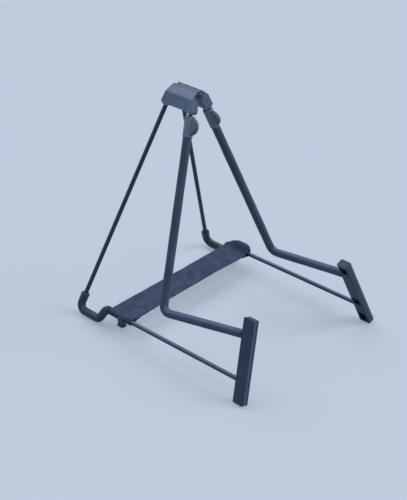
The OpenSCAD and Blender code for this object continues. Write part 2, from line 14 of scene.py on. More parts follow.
import bpy
import numpy as np
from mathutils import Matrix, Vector


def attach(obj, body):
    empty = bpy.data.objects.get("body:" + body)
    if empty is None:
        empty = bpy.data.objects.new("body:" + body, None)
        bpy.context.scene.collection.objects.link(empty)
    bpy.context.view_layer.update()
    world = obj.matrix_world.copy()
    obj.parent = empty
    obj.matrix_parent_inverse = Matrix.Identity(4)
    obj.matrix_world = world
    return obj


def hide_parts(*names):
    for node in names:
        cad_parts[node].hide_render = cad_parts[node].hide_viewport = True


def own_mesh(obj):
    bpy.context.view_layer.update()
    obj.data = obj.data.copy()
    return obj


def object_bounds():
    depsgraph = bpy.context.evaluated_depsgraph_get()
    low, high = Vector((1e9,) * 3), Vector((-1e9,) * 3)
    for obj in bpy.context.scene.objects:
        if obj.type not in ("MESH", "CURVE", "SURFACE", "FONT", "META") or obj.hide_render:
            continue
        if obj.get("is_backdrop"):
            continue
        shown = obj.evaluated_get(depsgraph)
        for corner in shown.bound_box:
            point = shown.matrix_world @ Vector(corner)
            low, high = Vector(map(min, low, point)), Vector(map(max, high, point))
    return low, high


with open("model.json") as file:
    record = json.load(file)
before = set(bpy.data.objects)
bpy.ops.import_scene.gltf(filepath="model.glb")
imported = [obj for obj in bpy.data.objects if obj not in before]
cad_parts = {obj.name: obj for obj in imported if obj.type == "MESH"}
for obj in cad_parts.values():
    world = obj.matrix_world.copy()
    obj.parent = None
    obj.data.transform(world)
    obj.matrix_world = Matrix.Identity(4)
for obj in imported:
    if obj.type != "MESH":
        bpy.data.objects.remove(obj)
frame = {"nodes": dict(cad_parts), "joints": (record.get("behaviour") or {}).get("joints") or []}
CAD_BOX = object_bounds()
HINGE = next(joint for joint in frame["joints"] if joint["name"] == "fold")

MM = 0.001
TURN = 2 * math.pi
FLOOR_REACH = 6.0
CREASE_ANGLE = math.radians(55)
NEARLY_NOTHING = 1e-6
PATTERN = "pattern"
# Ranges of a noise's value: most of it lies in the first, and nearly all in the second
MOST_NOISE = (0.3, 0.7)
WIDER_NOISE = (0.25, 0.75)
Colour = tuple[float, float, float]
log = logging.getLogger("guitar_stand")


def stacked(*parts: np.ndarray | float) -> np.ndarray:
    """The parts, spread to one shape and laid side by side in a last axis."""
    return np.stack(np.broadcast_arrays(*parts), axis=-1)


def unit(vector: np.ndarray) -> np.ndarray:
    """A vector of length 1 with the same direction."""
    return vector / np.linalg.norm(vector)


class Side(Enum):
    """The two mirrored side frames; the value is the sign of their x."""

    LEFT = -1
    RIGHT = 1

    @property
    def word(self) -> str:
        """The side's name as it starts the nodes' names."""
        return self.name.lower()

    @property
    def body(self) -> str:
        """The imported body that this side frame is."""
        return f"{self.word}_frame"


class Slot(Enum):
    """The record's material slots of the pieces that are made here."""

    HOSE = "hose_rubber"
    FOOT = "foot_rubber"
    STRAP = "strap_web"


@dataclass(frozen=True)
class Stance:
    """Where the hinge is, how far it folds, and how the side frames lean from it."""

    hinge_y: float = HINGE["pos_m"][1]
    hinge_height: float = HINGE["pos_m"][2]
    fold: float = math.radians(HINGE["range_deg"][1])
    lean: float = math.radians(21.5)
    frame_gap: float = 6 * MM

    def to_row(self, side: Side, points: np.ndarray) -> np.ndarray:
        """Turns points of a side frame's own axes into the row frame.

        The frame leans outward about the hinge, x' = x cos - z sin and
        z' = x sin + z cos, and the left frame is mirrored.

        Args:
            side: The side frame.
            points: Points in the frame's axes, the last axis holding x, y and z.

        Returns:
            The points in the row frame, in the same arrangement.
        """
        c, s = math.cos(self.lean), math.sin(self.lean)
        x, y, z = np.moveaxis(points, -1, 0)
        return stacked(side.value * (x * c - z * s), y + self.hinge_y, x * s + z * c + self.hinge_height)

    def depth_of(self, height: float) -> float:
        """How far down a side frame's middle plane a height above the floor is, from the hinge."""
        return (self.hinge_height + self.frame_gap * math.sin(self.lean) - height) / math.cos(self.lean)


STANCE = Stance()


@dataclass(frozen=True)
class RodLayout:
    """Sizes of the two rods in a side frame, and their corners as y and z from the hinge."""

    front_reach: float = 11 * MM
    front_lean: float = math.radians(8.8)
    front_depth: float = 9.5 * MM
    elbow_height: float = 56.5 * MM
    elbow_bend: float = 10 * MM
    arm_length: float = 145.5 * MM
    arm_rise: float = math.radians(10.7)
    rear_reach: float = 24.8 * MM
    rear_lean: float = math.radians(11.4)
    sleeve_radius: float = 5.8 * MM
    sleeve_ahead: float = 6 * MM
    foot_run: float = 41 * MM
    foot_bend: float = 9.5 * MM
    jog_run: float = 9 * MM
    jog_rise: float = 18.5 * MM
    jog_bend: float = 8 * MM
    lower_rise: float = math.radians(1)
    leaf_drop: float = 26.5 * MM
    collar_gap: float = 2.5 * MM
    collar_length: float = 27 * MM

    def on_leg(self, depth: float) -> np.ndarray:
        """The point of the front leg's line at a depth below the hinge."""
        return np.array([-self.front_reach - depth * math.tan(self.front_lean), -depth])

    def on_rear_rod(self, depth: float) -> np.ndarray:
        """The point of the rear rod's line at a depth below the hinge."""
        return np.array([self.rear_reach + depth * math.tan(self.rear_lean), -depth])

    @property
    def front_top(self) -> np.ndarray:
        """The front rod's upper end, inside the head."""
        return self.on_leg(self.front_depth)

    @property
    def elbow(self) -> np.ndarray:
        """Where the lines of the front leg and the arm cross."""
        return self.on_leg(STANCE.depth_of(self.elbow_height))

    @property
    def arm_end(self) -> np.ndarray:
        """The arm's end in the middle of the end block."""
        return self.elbow + self.arm_length * np.array([-math.cos(self.arm_rise), math.sin(self.arm_rise)])

    @property
    def rear_corner(self) -> np.ndarray:
        """Where the lines of the rear rod and the floor run cross."""
        return self.on_rear_rod(STANCE.depth_of(self.sleeve_radius))

    @property
    def run_end(self) -> np.ndarray:
        """Where the floor run meets the step."""
        return self.rear_corner - [self.foot_run, 0]

    @property
    def step_top(self) -> np.ndarray:
        """Where the step meets the lower rod."""
        return self.run_end + [-self.jog_run, self.jog_rise]

    @property
    def collar_start(self) -> float:
        """Distance along the front rod from its upper end to the collar's upper end."""
        return (self.leaf_drop - self.front_depth) / math.cos(self.front_lean) + self.collar_gap


LAYOUT = RodLayout()


class BentPath:
    """A path of straight runs and round bends in a side frame's plane."""

    ARC_STEPS = 24

    def __init__(self, corners: Sequence[np.ndarray], bends: Sequence[float]) -> None:
        """Works out the path's length, places and headings.

        Args:
            corners: The path's corners as y and z.
            bends: The bend radius at each inner corner.
        """
        runs = [b - a for a, b in zip(corners, corners[1:])]
        heads = np.unwrap([math.atan2(r[1], r[0]) for r in runs])
        place, heading, along = [corners[0]], [heads[0]], [0.0]
        for i, radius in enumerate(bends, start=1):
            turn = heads[i] - heads[i - 1]
            trim = radius * math.tan(abs(turn) / 2)
            ahead = unit(runs[i - 1])
            start = corners[i] - ahead * trim
            inward = np.array([-ahead[1], ahead[0]]) * math.copysign(1, turn)
            centre = start + inward * radius
            share = np.linspace(0, 1, self.ARC_STEPS + 1)
            angle = heads[i - 1] + turn * share
            normal = stacked(-np.sin(angle), np.cos(angle)) * math.copysign(1, turn)
            arc = centre - normal * radius
            along.append(along[-1] + float(np.linalg.norm(start - place[-1])))
            place.append(arc[0])
            heading.append(heads[i - 1])
            along.extend(along[-1] + abs(turn) * radius * share[1:])
            place.extend(arc[1:])
            heading.extend(angle[1:])
        along.append(along[-1] + float(np.linalg.norm(corners[-1] - place[-1])))
        place.append(corners[-1])
        heading.append(heads[-1])
        self.along = np.array(along)
        self.place = np.array(place)
        self.heading = np.array(heading)
        self.length = float(self.along[-1])

    def at(self, s: np.ndarray) -> tuple[np.ndarray, np.ndarray]:
        """Place and heading at distances along the path.

        Args:
            s: Distances from the path's start.

        Returns:
            The places as y and z, and the heading angles.
        """
        inside = np.clip(s, 0, self.length)
        heading = np.interp(inside, self.along, self.heading)
        place = stacked(*(np.interp(inside, self.along, column) for column in self.place.T))
        beyond = (s - inside)[..., None]
        return place + beyond * stacked(np.cos(heading), np.sin(heading)), heading


@dataclass(frozen=True)
class Wave:
    """A sine: its height, its radians for each unit of place, and its start in radians."""

    height: float
    rate: float
    start: float = 0.0

    def at(self, place: np.ndarray, sign: int = 1) -> np.ndarray:
        """Heights at places, height * sin(rate * place + sign * start)."""
        return self.height * np.sin(self.rate * place + sign * self.start)


def ring_faces(rings: int, around: int, is_closed: bool) -> np.ndarray:
    """Four-sided faces between rings of points.

    Args:
        rings: Number of rings.
        around: Number of points in a ring.
        is_closed: Whether the last ring joins the first.

    Returns:
        Point numbers of each face.
    """
    r = np.arange(rings if is_closed else rings - 1)[:, None]
    c = np.arange(around)
    here, onward = r * around, (r + 1) % rings * around
    after = (c + 1) % around
    return stacked(here + c, here + after, onward + after, onward + c).reshape(-1, 4)


def signed_volume(points: np.ndarray, faces: np.ndarray) -> float:
    """Volume of a closed surface, positive where its faces point outwards."""
    a, b, c, d = (points[faces[:, k]] for k in range(4))
    return float((a * np.cross(b, c)).sum() + (a * np.cross(c, d)).sum()) / 6


def surface(name: str, points: np.ndarray, faces: np.ndarray) -> bpy.types.Object:
    """Makes a smooth mesh object whose faces point outwards.

    Args:
        name: The piece's name.
        points: A row for each point: x, y and z in the row frame, and for a patterned
            piece its two pattern coordinates in metres.
        faces: Point numbers of each face; a repeated last number makes a triangle.

    Returns:
        The object, at the origin, unturned and unscaled.
    """
    places, pattern = points[:, :3], points[:, 3:]
    if signed_volume(places, faces) < 0:
        faces = faces[:, ::-1]
    mesh = bpy.data.meshes.new(name)
    mesh.from_pydata(places.tolist(), [], [list(dict.fromkeys(face)) for face in faces.tolist()])
    mesh.validate()
    mesh.shade_smooth()
    mesh.set_sharp_from_angle(angle=CREASE_ANGLE)
    if pattern.size:
        layer = mesh.uv_layers.new(name=PATTERN)
        corner = np.zeros(len(mesh.loops), np.int32)
        mesh.loops.foreach_get("vertex_index", corner)
        layer.data.foreach_set("uv", pattern[corner].astype(np.float32).ravel())
    obj = bpy.data.objects.new(name, mesh)
    bpy.context.scene.collection.objects.link(obj)
    return obj


def capped(rings: np.ndarray) -> tuple[np.ndarray, np.ndarray]:
    """Closes the two open ends of a tube of rings with a fan to each end's middle.

    Args:
        rings: Grid of points as `surface` takes them, ring by point round it.

    Returns:
        The points and the faces.
    """
    count, around, values = rings.shape
    here = np.arange(around)
    after = (here + 1) % around
    last_ring, middle = (count - 1) * around, count * around
    near = stacked(after, here, middle, middle)
    far = stacked(last_ring + here, last_ring + after, middle + 1, middle + 1)
    middles = rings[[0, -1]].mean(axis=1)
    points = np.concatenate([rings.reshape(-1, values), middles])
    return points, np.concatenate([ring_faces(count, around, False), near, far])


def scaled(colour: Colour, share: float) -> Colour:
    """A colour made lighter or darker by a share."""
    return tuple(c * share for c in colour)


@dataclass(frozen=True)
class Noise:
    """Noise over a piece: its features in a metre, and how many finer layers lie on them."""

    scale: float
    detail: float


class Recipe:
    """Builds one material's nodes with few words."""

    FRONT_RANGE = (-0.95, -0.75)
    EDGE_RANGE = (0.01, 0.22)
    EDGE_SAMPLES = 6
    FULLY_UP = 0.95

    def __init__(self, name: str) -> None:
        """Starts a material with a Principled shader.

        Args:
            name: The material's name.
        """
        self.material = bpy.data.materials.new(name)
        self.material.use_nodes = True
        self.tree = self.material.node_tree
        self.shader = self.tree.nodes["Principled BSDF"]
        self.place = self.tree.nodes.new("ShaderNodeTexCoord").outputs["Object"]

    def set(self, **values: object) -> None:
        """Sets the shader's own sockets; an underscore in a name stands for a space."""
        for key, value in values.items():
            self.shader.inputs[key.replace("_", " ")].default_value = value

    def join(self, source: object, target: bpy.types.NodeSocket) -> None:
        """Links a socket, or writes a plain value, into a target socket.

        Args:
            source: The socket or the value.
            target: Where it goes.
        """
        if isinstance(source, bpy.types.NodeSocket):
            self.tree.links.new(source, target)
        else:
            target.default_value = source

    def noise(self, noise: Noise) -> bpy.types.NodeSocket:
        """A noise in the piece's own coordinates, about 0.5 on average.

        Args:
            noise: Its scale and detail.

        Returns:
            The noise's value.
        """
        node = self.tree.nodes.new("ShaderNodeTexNoise")
        self.join(self.place, node.inputs["Vector"])
        node.inputs["Scale"].default_value = noise.scale
        node.inputs["Detail"].default_value = noise.detail
        return node.outputs["Fac"]

    def math(self, kind: str, *values: object) -> bpy.types.NodeSocket:
        """A Math node of that kind on sockets or numbers.

        Args:
            kind: The node's operation.
            values: Its inputs in order.

        Returns:
            The result.
        """
        node = self.tree.nodes.new("ShaderNodeMath")
        node.operation = kind
        for value, target in zip(values, node.inputs):
            self.join(value, target)
        return node.outputs[0]

    def between(
        self, value: bpy.types.NodeSocket, low: float, high: float, out_low: float, out_high: float
    ) -> bpy.types.NodeSocket:
        """Maps a value's range onto another, smoothly at both ends.

        Args:
            value: The value to map.
            low: Where the range starts.
            high: Where the range stops.
            out_low: Result at and below the start.
            out_high: Result at and above the stop.

        Returns:
            The mapped value.
        """
        node = self.tree.nodes.new("ShaderNodeMapRange")
        node.interpolation_type = "SMOOTHSTEP"
        ends = {"From Min": low, "From Max": high, "To Min": out_low, "To Max": out_high}
        for key, number in ends.items():
            node.inputs[key].default_value = number
        self.join(value, node.inputs["Value"])
        return node.outputs["Result"]

    def blend(self, share: object, low: object, high: object) -> bpy.types.NodeSocket:
        """Mixes two colours, each a socket or a linear red, green and blue.

        Args:
            share: Share of the second colour.
            low: The first colour.
            high: The second colour.

        Returns:
            The mixed colour.
        """
        node = self.tree.nodes.new("ShaderNodeMix")
        node.data_type = "RGBA"
        self.join(share, node.inputs["Factor"])
        for value, key in ((low, "A"), (high, "B")):
            target = next(s for s in node.inputs if s.name == key and s.type == "RGBA")
            self.join(value if isinstance(value, bpy.types.NodeSocket) else (*value, 1.0), target)
        return next(s for s in node.outputs if s.type == "RGBA")

    def paint(self, colour: object) -> None:
        """Sends a colour into the shader's base colour."""
        self.join(colour, self.shader.inputs["Base Color"])

    def rough(self, value: object) -> None:
        """Sends a value into the shader's roughness."""
        self.join(value, self.shader.inputs["Roughness"])

    def bump(self, height: object, distance: float, strength: float = 1.0) -> None:
        """Raises the surface by a height of 0 to 1 times a distance, on top of any bump so far.

        Args:
            height: The height socket.
            distance: The height of 1, in metres.
            strength: Share of the effect.
        """
        node = self.tree.nodes.new("ShaderNodeBump")
        node.inputs["Strength"].default_value = strength
        node.inputs["Distance"].default_value = distance
        self.join(height, node.inputs["Height"])
        normal = self.shader.inputs["Normal"]
        if normal.is_linked:
            self.join(normal.links[0].from_socket, node.inputs["Normal"])
        self.join(node.outputs["Normal"], normal)

    def cover(self, colour: object, over: object, *shares: object) -> bpy.types.NodeSocket:
        """Lays a second colour over the first by the product of the shares.

        Args:
            colour: The first colour.
            over: The second colour.
            shares: Sockets or numbers.

        Returns:
            The colour with the second one on it.
        """
        total = shares[0]
        for share in shares[1:]:
            total = self.math("MULTIPLY", total, share)
        return self.blend(total, colour, over)

    def mottled(
        self, colour: Colour, slow: bpy.types.NodeSocket, less: float, more: float
    ) -> bpy.types.NodeSocket:
        """A colour that a slow noise makes darker by one share and lighter by the other."""
        share = self.between(slow, *MOST_NOISE, 0, 1)
        return self.blend(share, scaled(colour, 1 - less), scaled(colour, 1 + more))

    def split(self, vector: bpy.types.NodeSocket) -> tuple[bpy.types.NodeSocket, ...]:
        """The x, y and z of a vector.

        Args:
            vector: The vector.

        Returns:
            Its three parts.
        """
        node = self.tree.nodes.new("ShaderNodeSeparateXYZ")
        self.join(vector, node.inputs[0])
        return tuple(node.outputs)

    def pattern(self) -> tuple[bpy.types.NodeSocket, ...]:
        """The piece's own pattern coordinates, in metres; the third is nothing.

        Returns:
            The three coordinates.
        """
        node = self.tree.nodes.new("ShaderNodeUVMap")
        node.uv_map = PATTERN
        return self.split(node.outputs["UV"])

    def normal(self) -> tuple[bpy.types.NodeSocket, ...]:
        """The x, y and z of the surface's normal."""
        return self.split(self.tree.nodes.new("ShaderNodeTexCoord").outputs["Normal"])

    def facing_front(self) -> bpy.types.NodeSocket:
        """Whether a surface faces the stand's front, from 0 to 1, by its normal's y."""
        return self.between(self.normal()[1], *self.FRONT_RANGE, 1.0, 0.0)

    def facing_up(self, start: float = 0.1) -> bpy.types.NodeSocket:
        """How far a surface faces upward, from 0 to 1, where its normal's z is above `start`."""
        return self.between(self.normal()[2], start, self.FULLY_UP, 0.0, 1.0)

    def from_hinge(self) -> bpy.types.NodeSocket:
        """Distance of a point from the hinge's axis, the root of x squared and height squared.

        Returns:
            The distance.
        """
        x, _, z = self.split(self.place)
        height = self.math("SUBTRACT", z, STANCE.hinge_height)
        squares = self.math("MULTIPLY_ADD", x, x, self.math("MULTIPLY", height, height))
        return self.math("SQRT", squares)

    def outward(self) -> bpy.types.NodeSocket:
        """A point's x in its side frame's axes, |x| cos + (z - hinge height) sin of the lean.

        Returns:
            That x.
        """
        x, _, z = self.split(self.place)
        height = self.math("SUBTRACT", z, STANCE.hinge_height)
        across = self.math("MULTIPLY", self.math("ABSOLUTE", x), math.cos(STANCE.lean))
        return self.math("MULTIPLY_ADD", height, math.sin(STANCE.lean), across)

    def edges(self, radius: float) -> bpy.types.NodeSocket:
        """How near a point is to a convex or hollow edge, from 0 to about 1.

        It is one less the dot product of the surface's normal and the normal of the
        same surface with its edges rounded to the radius.

        Args:
            radius: The rounding's radius.

        Returns:
            How near the point is.
        """
        bevel = self.tree.nodes.new("ShaderNodeBevel")
        bevel.samples = self.EDGE_SAMPLES
        bevel.inputs["Radius"].default_value = radius
        dot = self.tree.nodes.new("ShaderNodeVectorMath")
        dot.operation = "DOT_PRODUCT"
        self.join(bevel.outputs["Normal"], dot.inputs[0])
        self.join(self.tree.nodes.new("ShaderNodeNewGeometry").outputs["Normal"], dot.inputs[1])
        return self.between(self.math("SUBTRACT", 1.0, dot.outputs["Value"]), *self.EDGE_RANGE, 0.0, 1.0)


@dataclass(frozen=True)
class Finish:
    """What a piece is made of or coated with: its material's name, its colour and its nodes."""

    name: str
    colour: Colour

    def fill(self, mix: Recipe) -> None:
        """Builds the finish's nodes; each finish has its own way."""
        raise NotImplementedError

    def material(self) -> bpy.types.Material:
        """Makes the finish's material.

        Returns:
            The material.
        """
        mix = Recipe(self.name)
        self.fill(mix)
        return mix.material


@dataclass(frozen=True)
class Rubber(Finish):
    """Smooth rubber, soft vinyl or foam: slow mottling, a very fine skin and painted light that makes upper
    faces paler.

    Beyond `rim` from a disc's middle, which its pattern coordinate gives, it is darker.
    """

    roughness: tuple[float, float]
    mottle: float = 0.18
    # Share of pale dust specks on the rubber.
    dust: float = 0.25
    # Share of painted light that makes upper faces paler.
    painted_top_light: float = 0.0
    pale: float = 2.2
    rim: float | None = None
    rim_fade: float = 1 * MM
    rim_share: float = 0.6
    rim_shade: float = 0.3
    clouds: Noise = Noise(38, 4)
    specks: Noise = Noise(420, 5)
    speck_range: tuple[float, float] = (0.58, 0.78)
    pores: Noise = Noise(900, 2)
    pore_depth: float = 0.05 * MM
    unevenness: float = 0.3 * MM

    def fill(self, mix: Recipe) -> None:
        """Builds the rubber's nodes.

        Args:
            mix: The recipe to fill.
        """
        slow = mix.noise(self.clouds)
        pale = scaled(self.colour, self.pale)
        base = mix.mottled(self.colour, slow, self.mottle, self.mottle)
        colour = mix.cover(base, pale, mix.between(mix.noise(self.specks), *self.speck_range, 0, self.dust))
        # Painted light: faces that look up are made paler, as if lit from above.
        if self.painted_top_light:
            colour = mix.cover(colour, pale, mix.facing_up(), self.painted_top_light)
        if self.rim is not None:
            outer = mix.between(mix.pattern()[0], self.rim, self.rim + self.rim_fade, 0, self.rim_share)
            colour = mix.cover(colour, scaled(self.colour, self.rim_shade), outer)
        mix.paint(colour)
        mix.rough(mix.between(slow, *WIDER_NOISE, *self.roughness))
        mix.bump(mix.noise(self.pores), self.pore_depth)
        mix.bump(slow, self.unevenness, strength=0.4)
        mix.set(Sheen_Weight=0.04, Sheen_Roughness=0.5, IOR=1.48, Specular_IOR_Level=0.3)


@dataclass(frozen=True)
class Paint(Finish):
    """Satin powder coat on a steel rod, with a little orange peel, fine rubs and a painted highlight on
    top.
    """

    # The paler colour painted on faces that look up, as a painted highlight.
    dust: Colour
    dust_share: float = 0.7
    roughness: tuple[float, float] = (0.32, 0.48)
    mottle: tuple[float, float] = (0.15, 0.2)
    clouds: Noise = Noise(24, 4)
    rubs: Noise = Noise(310, 6)
    rub_range: tuple[float, float] = (0.63, 0.74)
    rub_share: float = 0.35
    rub_pale: float = 2.4
    peel: Noise = Noise(700, 3)
    peel_depth: float = 0.06 * MM

    def fill(self, mix: Recipe) -> None:
        """Builds the coated rod's nodes.

        Args:
            mix: The recipe to fill.
        """
        slow = mix.noise(self.clouds)
        base = mix.mottled(self.colour, slow, *self.mottle)
        rubs = mix.between(mix.noise(self.rubs), *self.rub_range, 0, self.rub_share)
        rubbed = mix.cover(base, scaled(self.colour, self.rub_pale), rubs)
        # Painted highlight: faces that look up take the paler top colour.
        mix.paint(mix.cover(rubbed, self.dust, mix.facing_up(), self.dust_share))
        mix.rough(mix.between(slow, *MOST_NOISE, *self.roughness))
        mix.bump(mix.noise(self.peel), self.peel_depth)
        mix.set(IOR=1.5, Specular_IOR_Level=0.35)


@dataclass(frozen=True)
class Moulded(Finish):
    """Moulded plastic with a fine spark grain, faint flow marks and rubbed edges.

    Near the hinge's axis, within `barrel`, it may be darker, and upper faces may get painted
    shade. Faces to the front may get painted shade too or, where `front` gives a colour, painted
    light, and a painted dark line, the shade of a groove that is not modelled, may run along them
    where x, in the side frame's own axes, is the place that the finish gives for it.
    """

    edge: Colour
    roughness: tuple[float, float] = (0.41, 0.54)
    flow: float = 0.12
    flow_marks: Noise = Noise(30, 4)
    grain: Noise = Noise(1500, 2)
    grain_depth: float = 0.06 * MM
    wear: float = 0.6
    wear_reach: float = 0.9 * MM
    patches: Noise = Noise(160, 4)
    patch_range: tuple[float, float] = (0.35, 0.62)
    patch_least: float = 0.35
    shade: float = 0.2
    barrel: float = 0.0
    barrel_fade: float = 0.8 * MM
    barrel_share: float = 0.62
    # Share of painted shade on faces to the front, or of painted light where `front` gives a colour.
    painted_front_share: float = 0.0
    front: Colour | None = None
    # Share of painted shade on upper faces.
    painted_top_shade: float = 0.0
    top_from: float = 0.6
    # Place of a painted dark line, standing for a groove's shade, on the faces to the front.
    groove: float | None = None
    groove_width: float = 1.6 * MM
    groove_share: float = 0.8

    def fill(self, mix: Recipe) -> None:
        """Builds the moulded plastic's nodes.

        Args:
            mix: The recipe to fill.
        """
        grain = mix.noise(self.grain)
        base = mix.mottled(self.colour, mix.noise(self.flow_marks), self.flow, self.flow)
        patches = mix.between(mix.noise(self.patches), *self.patch_range, self.patch_least, 1)
        colour = mix.cover(base, self.edge, mix.edges(self.wear_reach), patches, self.wear)
        dark = scaled(self.colour, self.shade)
        if self.barrel:
            limits = (self.barrel, self.barrel + self.barrel_fade)
            colour = mix.cover(colour, dark, mix.between(mix.from_hinge(), *limits, self.barrel_share, 0))
        # Painted shade on faces to the front, or painted light where `front` gives a paler colour.
        if self.painted_front_share:
            colour = mix.cover(colour, self.front or dark, mix.facing_front(), self.painted_front_share)
        # Painted shade on upper faces.
        if self.painted_top_shade:
            colour = mix.cover(colour, dark, mix.facing_up(self.top_from), self.painted_top_shade)
        # A painted dark line on the faces to the front, standing for the shade in a groove that is not
        # modelled.
        if self.groove is not None:
            aside = mix.math("ABSOLUTE", mix.math("SUBTRACT", mix.outward(), self.groove))
            line = mix.between(aside, 0.5 * self.groove_width, self.groove_width, 1, 0)
            colour = mix.cover(colour, dark, line, mix.facing_front(), self.groove_share)
        mix.paint(colour)
        mix.rough(mix.between(grain, *MOST_NOISE, *self.roughness))
        mix.bump(grain, self.grain_depth)
        mix.set(IOR=1.48, Specular_IOR_Level=0.3)


@dataclass(frozen=True)
class Steel(Finish):
    """Dulled screw and pin steel with fine turned marks."""

    roughness: tuple[float, float] = (0.28, 0.48)
    metallic: float = 0.9
    marks: Noise = Noise(2600, 2)
    mark_depth: float = 0.02 * MM
    dulling: Noise = Noise(240, 4)
    dull_range: tuple[float, float] = (0.4, 0.7)
    dull_shade: float = 0.6

    def fill(self, mix: Recipe) -> None:
        """Builds the steel's nodes.

        Args:
            mix: The recipe to fill.
        """
        marks = mix.noise(self.marks)
        dull = mix.between(mix.noise(self.dulling), *self.dull_range, 0, 1)
        mix.paint(mix.cover(self.colour, scaled(self.colour, self.dull_shade), dull))
        mix.rough(mix.between(marks, *MOST_NOISE, *self.roughness))
        mix.bump(marks, self.mark_depth)
        mix.set(Metallic=self.metallic)


@dataclass(frozen=True)
class Webbing(Finish):
    """Woven strap: basket weave that follows the strap, selvage ribs, painted shade in the weave's valleys
    and soft mottling.
    """

    # Colour of the painted shade in the weave's valleys.
    valley: Colour
    half_width: float = 21.5 * MM
    pitch: float = 1.5 * MM
    pick_share: float = 0.8
    relief: float = 0.22 * MM
    valley_range: tuple[float, float] = (0.1, 0.8)
    selvage: float = 2.6 * MM
    selvage_fade: float = 1.2 * MM
    clouds: Noise = Noise(70, 5)
    cloud_range: tuple[float, float] = (0.32, 0.68)
    mottle: float = 0.22
    roughness: tuple[float, float] = (0.8, 0.66)
    crumples: Noise = Noise(190, 3)
    crumple_depth: float = 0.35 * MM

    def fill(self, mix: Recipe) -> None:
        """Builds the webbing's nodes.

        Its pattern coordinates are across and along the strap. The weave's height is the
        product of a sine across and a sine along. In the selvages it is the sine across.

        Args:
            mix: The recipe to fill.
        """
        across, along, _ = mix.pattern()
        turn = TURN / self.pitch
        rib = mix.math("SINE", mix.math("MULTIPLY", across, turn))
        pick = mix.math("SINE", mix.math("MULTIPLY", along, turn * self.pick_share))
        inner = self.half_width - self.selvage
        edge = mix.between(mix.math("ABSOLUTE", across), inner, inner + self.selvage_fade, 0, 1)
        picks = mix.math("MULTIPLY_ADD", mix.math("SUBTRACT", 1.0, edge), pick, edge)
        height = mix.math("MULTIPLY_ADD", mix.math("MULTIPLY", rib, picks), 0.5, 0.5)
        slow = mix.between(mix.noise(self.clouds), *self.cloud_range, 0, 1)
        thread = mix.blend(slow, scaled(self.colour, 1 - self.mottle), scaled(self.colour, 1 + self.mottle))
        # Painted shade: the weave's low places take the darker valley colour.
        mix.paint(mix.blend(mix.between(height, *self.valley_range, 0, 1), self.valley, thread))
        mix.rough(mix.between(slow, 0, 1, *self.roughness))
        mix.bump(height, self.relief)
        mix.bump(mix.noise(self.crumples), self.crumple_depth, strength=0.5)
        mix.set(Sheen_Weight=0.06, Sheen_Roughness=0.4, IOR=1.45, Specular_IOR_Level=0.2)


# The hose's upper faces get painted light.
NAVY_HOSE = Rubber("navy_hose", (0.047, 0.073, 0.118), (0.41, 0.57), painted_top_light=0.35)
BLACK_RUBBER = Rubber("black_rubber", (0.030, 0.050, 0.086), (0.37, 0.53), dust=0.3, mottle=0.3)
GREY_FOAM = Rubber("grey_foam", (0.178, 0.228, 0.296), (0.55, 0.71), dust=0.2, rim=8.9 * MM)
THREAD = Rubber("seam_thread", (0.060, 0.080, 0.130), (0.63, 0.79), dust=0.0)
# The rod coat's third colour is the painted highlight on the rods' upper faces.
ROD_COAT = Paint("rod_coat", (0.016, 0.034, 0.068), (0.115, 0.165, 0.245))
# The head's faces to the front get painted shade.
HEAD_PLASTIC = Moulded("head_plastic", (0.165, 0.212, 0.300), (0.080, 0.104, 0.158), flow=0.18,
                       barrel=6.9 * MM, painted_front_share=0.45)
COLLAR_PLASTIC = Moulded("collar_plastic", (0.197, 0.246, 0.315), (0.240, 0.290, 0.360))
# The block's faces to the front get painted light, its upper faces painted shade, and a painted dark line
# stands for a groove's shade.
BLOCK_PLASTIC = Moulded("block_plastic", (0.034, 0.058, 0.104), (0.085, 0.115, 0.175), (0.39, 0.52),
                        painted_front_share=0.6, front=(0.082, 0.109, 0.160), painted_top_shade=0.55, groove=5 * MM)
SCREW_STEEL = Steel("screw_steel", (0.26, 0.30, 0.37))
DARK_STEEL = Steel("dark_steel", (0.055, 0.075, 0.115), metallic=0.5)
# The strap's second colour is the painted shade in the weave's valleys.
STRAP_CLOTH = Webbing("strap_cloth", (0.050, 0.073, 0.126), (0.023, 0.036, 0.066))


def dress(obj: bpy.types.Object, material: bpy.types.Material) -> None:
    """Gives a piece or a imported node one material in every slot.

    Args:
        obj: The piece or node.
        material: Its material.
    """
    if not obj.material_slots:
        obj.data.materials.append(material)
    for slot in obj.material_slots:
        slot.link = "OBJECT"
        slot.material = material


def smooth_step(value: np.ndarray, low: float, high: float) -> np.ndarray:
    """Goes from 0 at the first limit to 1 at the second, t squared times (3 - 2 t) between them."""
    t = np.clip((value - low) / (high - low), 0, 1)
    return t * t * (3 - 2 * t)


@dataclass
class SoftPiece:
    """A soft piece of one side frame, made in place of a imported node."""

    side: Side
    node: ClassVar[str]
    slot: ClassVar[Slot]
    is_padded: ClassVar[bool] = False

    def stand_in(self, obj: bpy.types.Object, material: bpy.types.Material) -> None:
        """Gives the piece its finish and body, and hides the node that it replaces.

        Args:
            obj: The piece.
            material: The piece's material.
        """
        dress(obj, material)
        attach(obj, self.side.body)
        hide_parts(f"{self.side.word}_{self.node}")


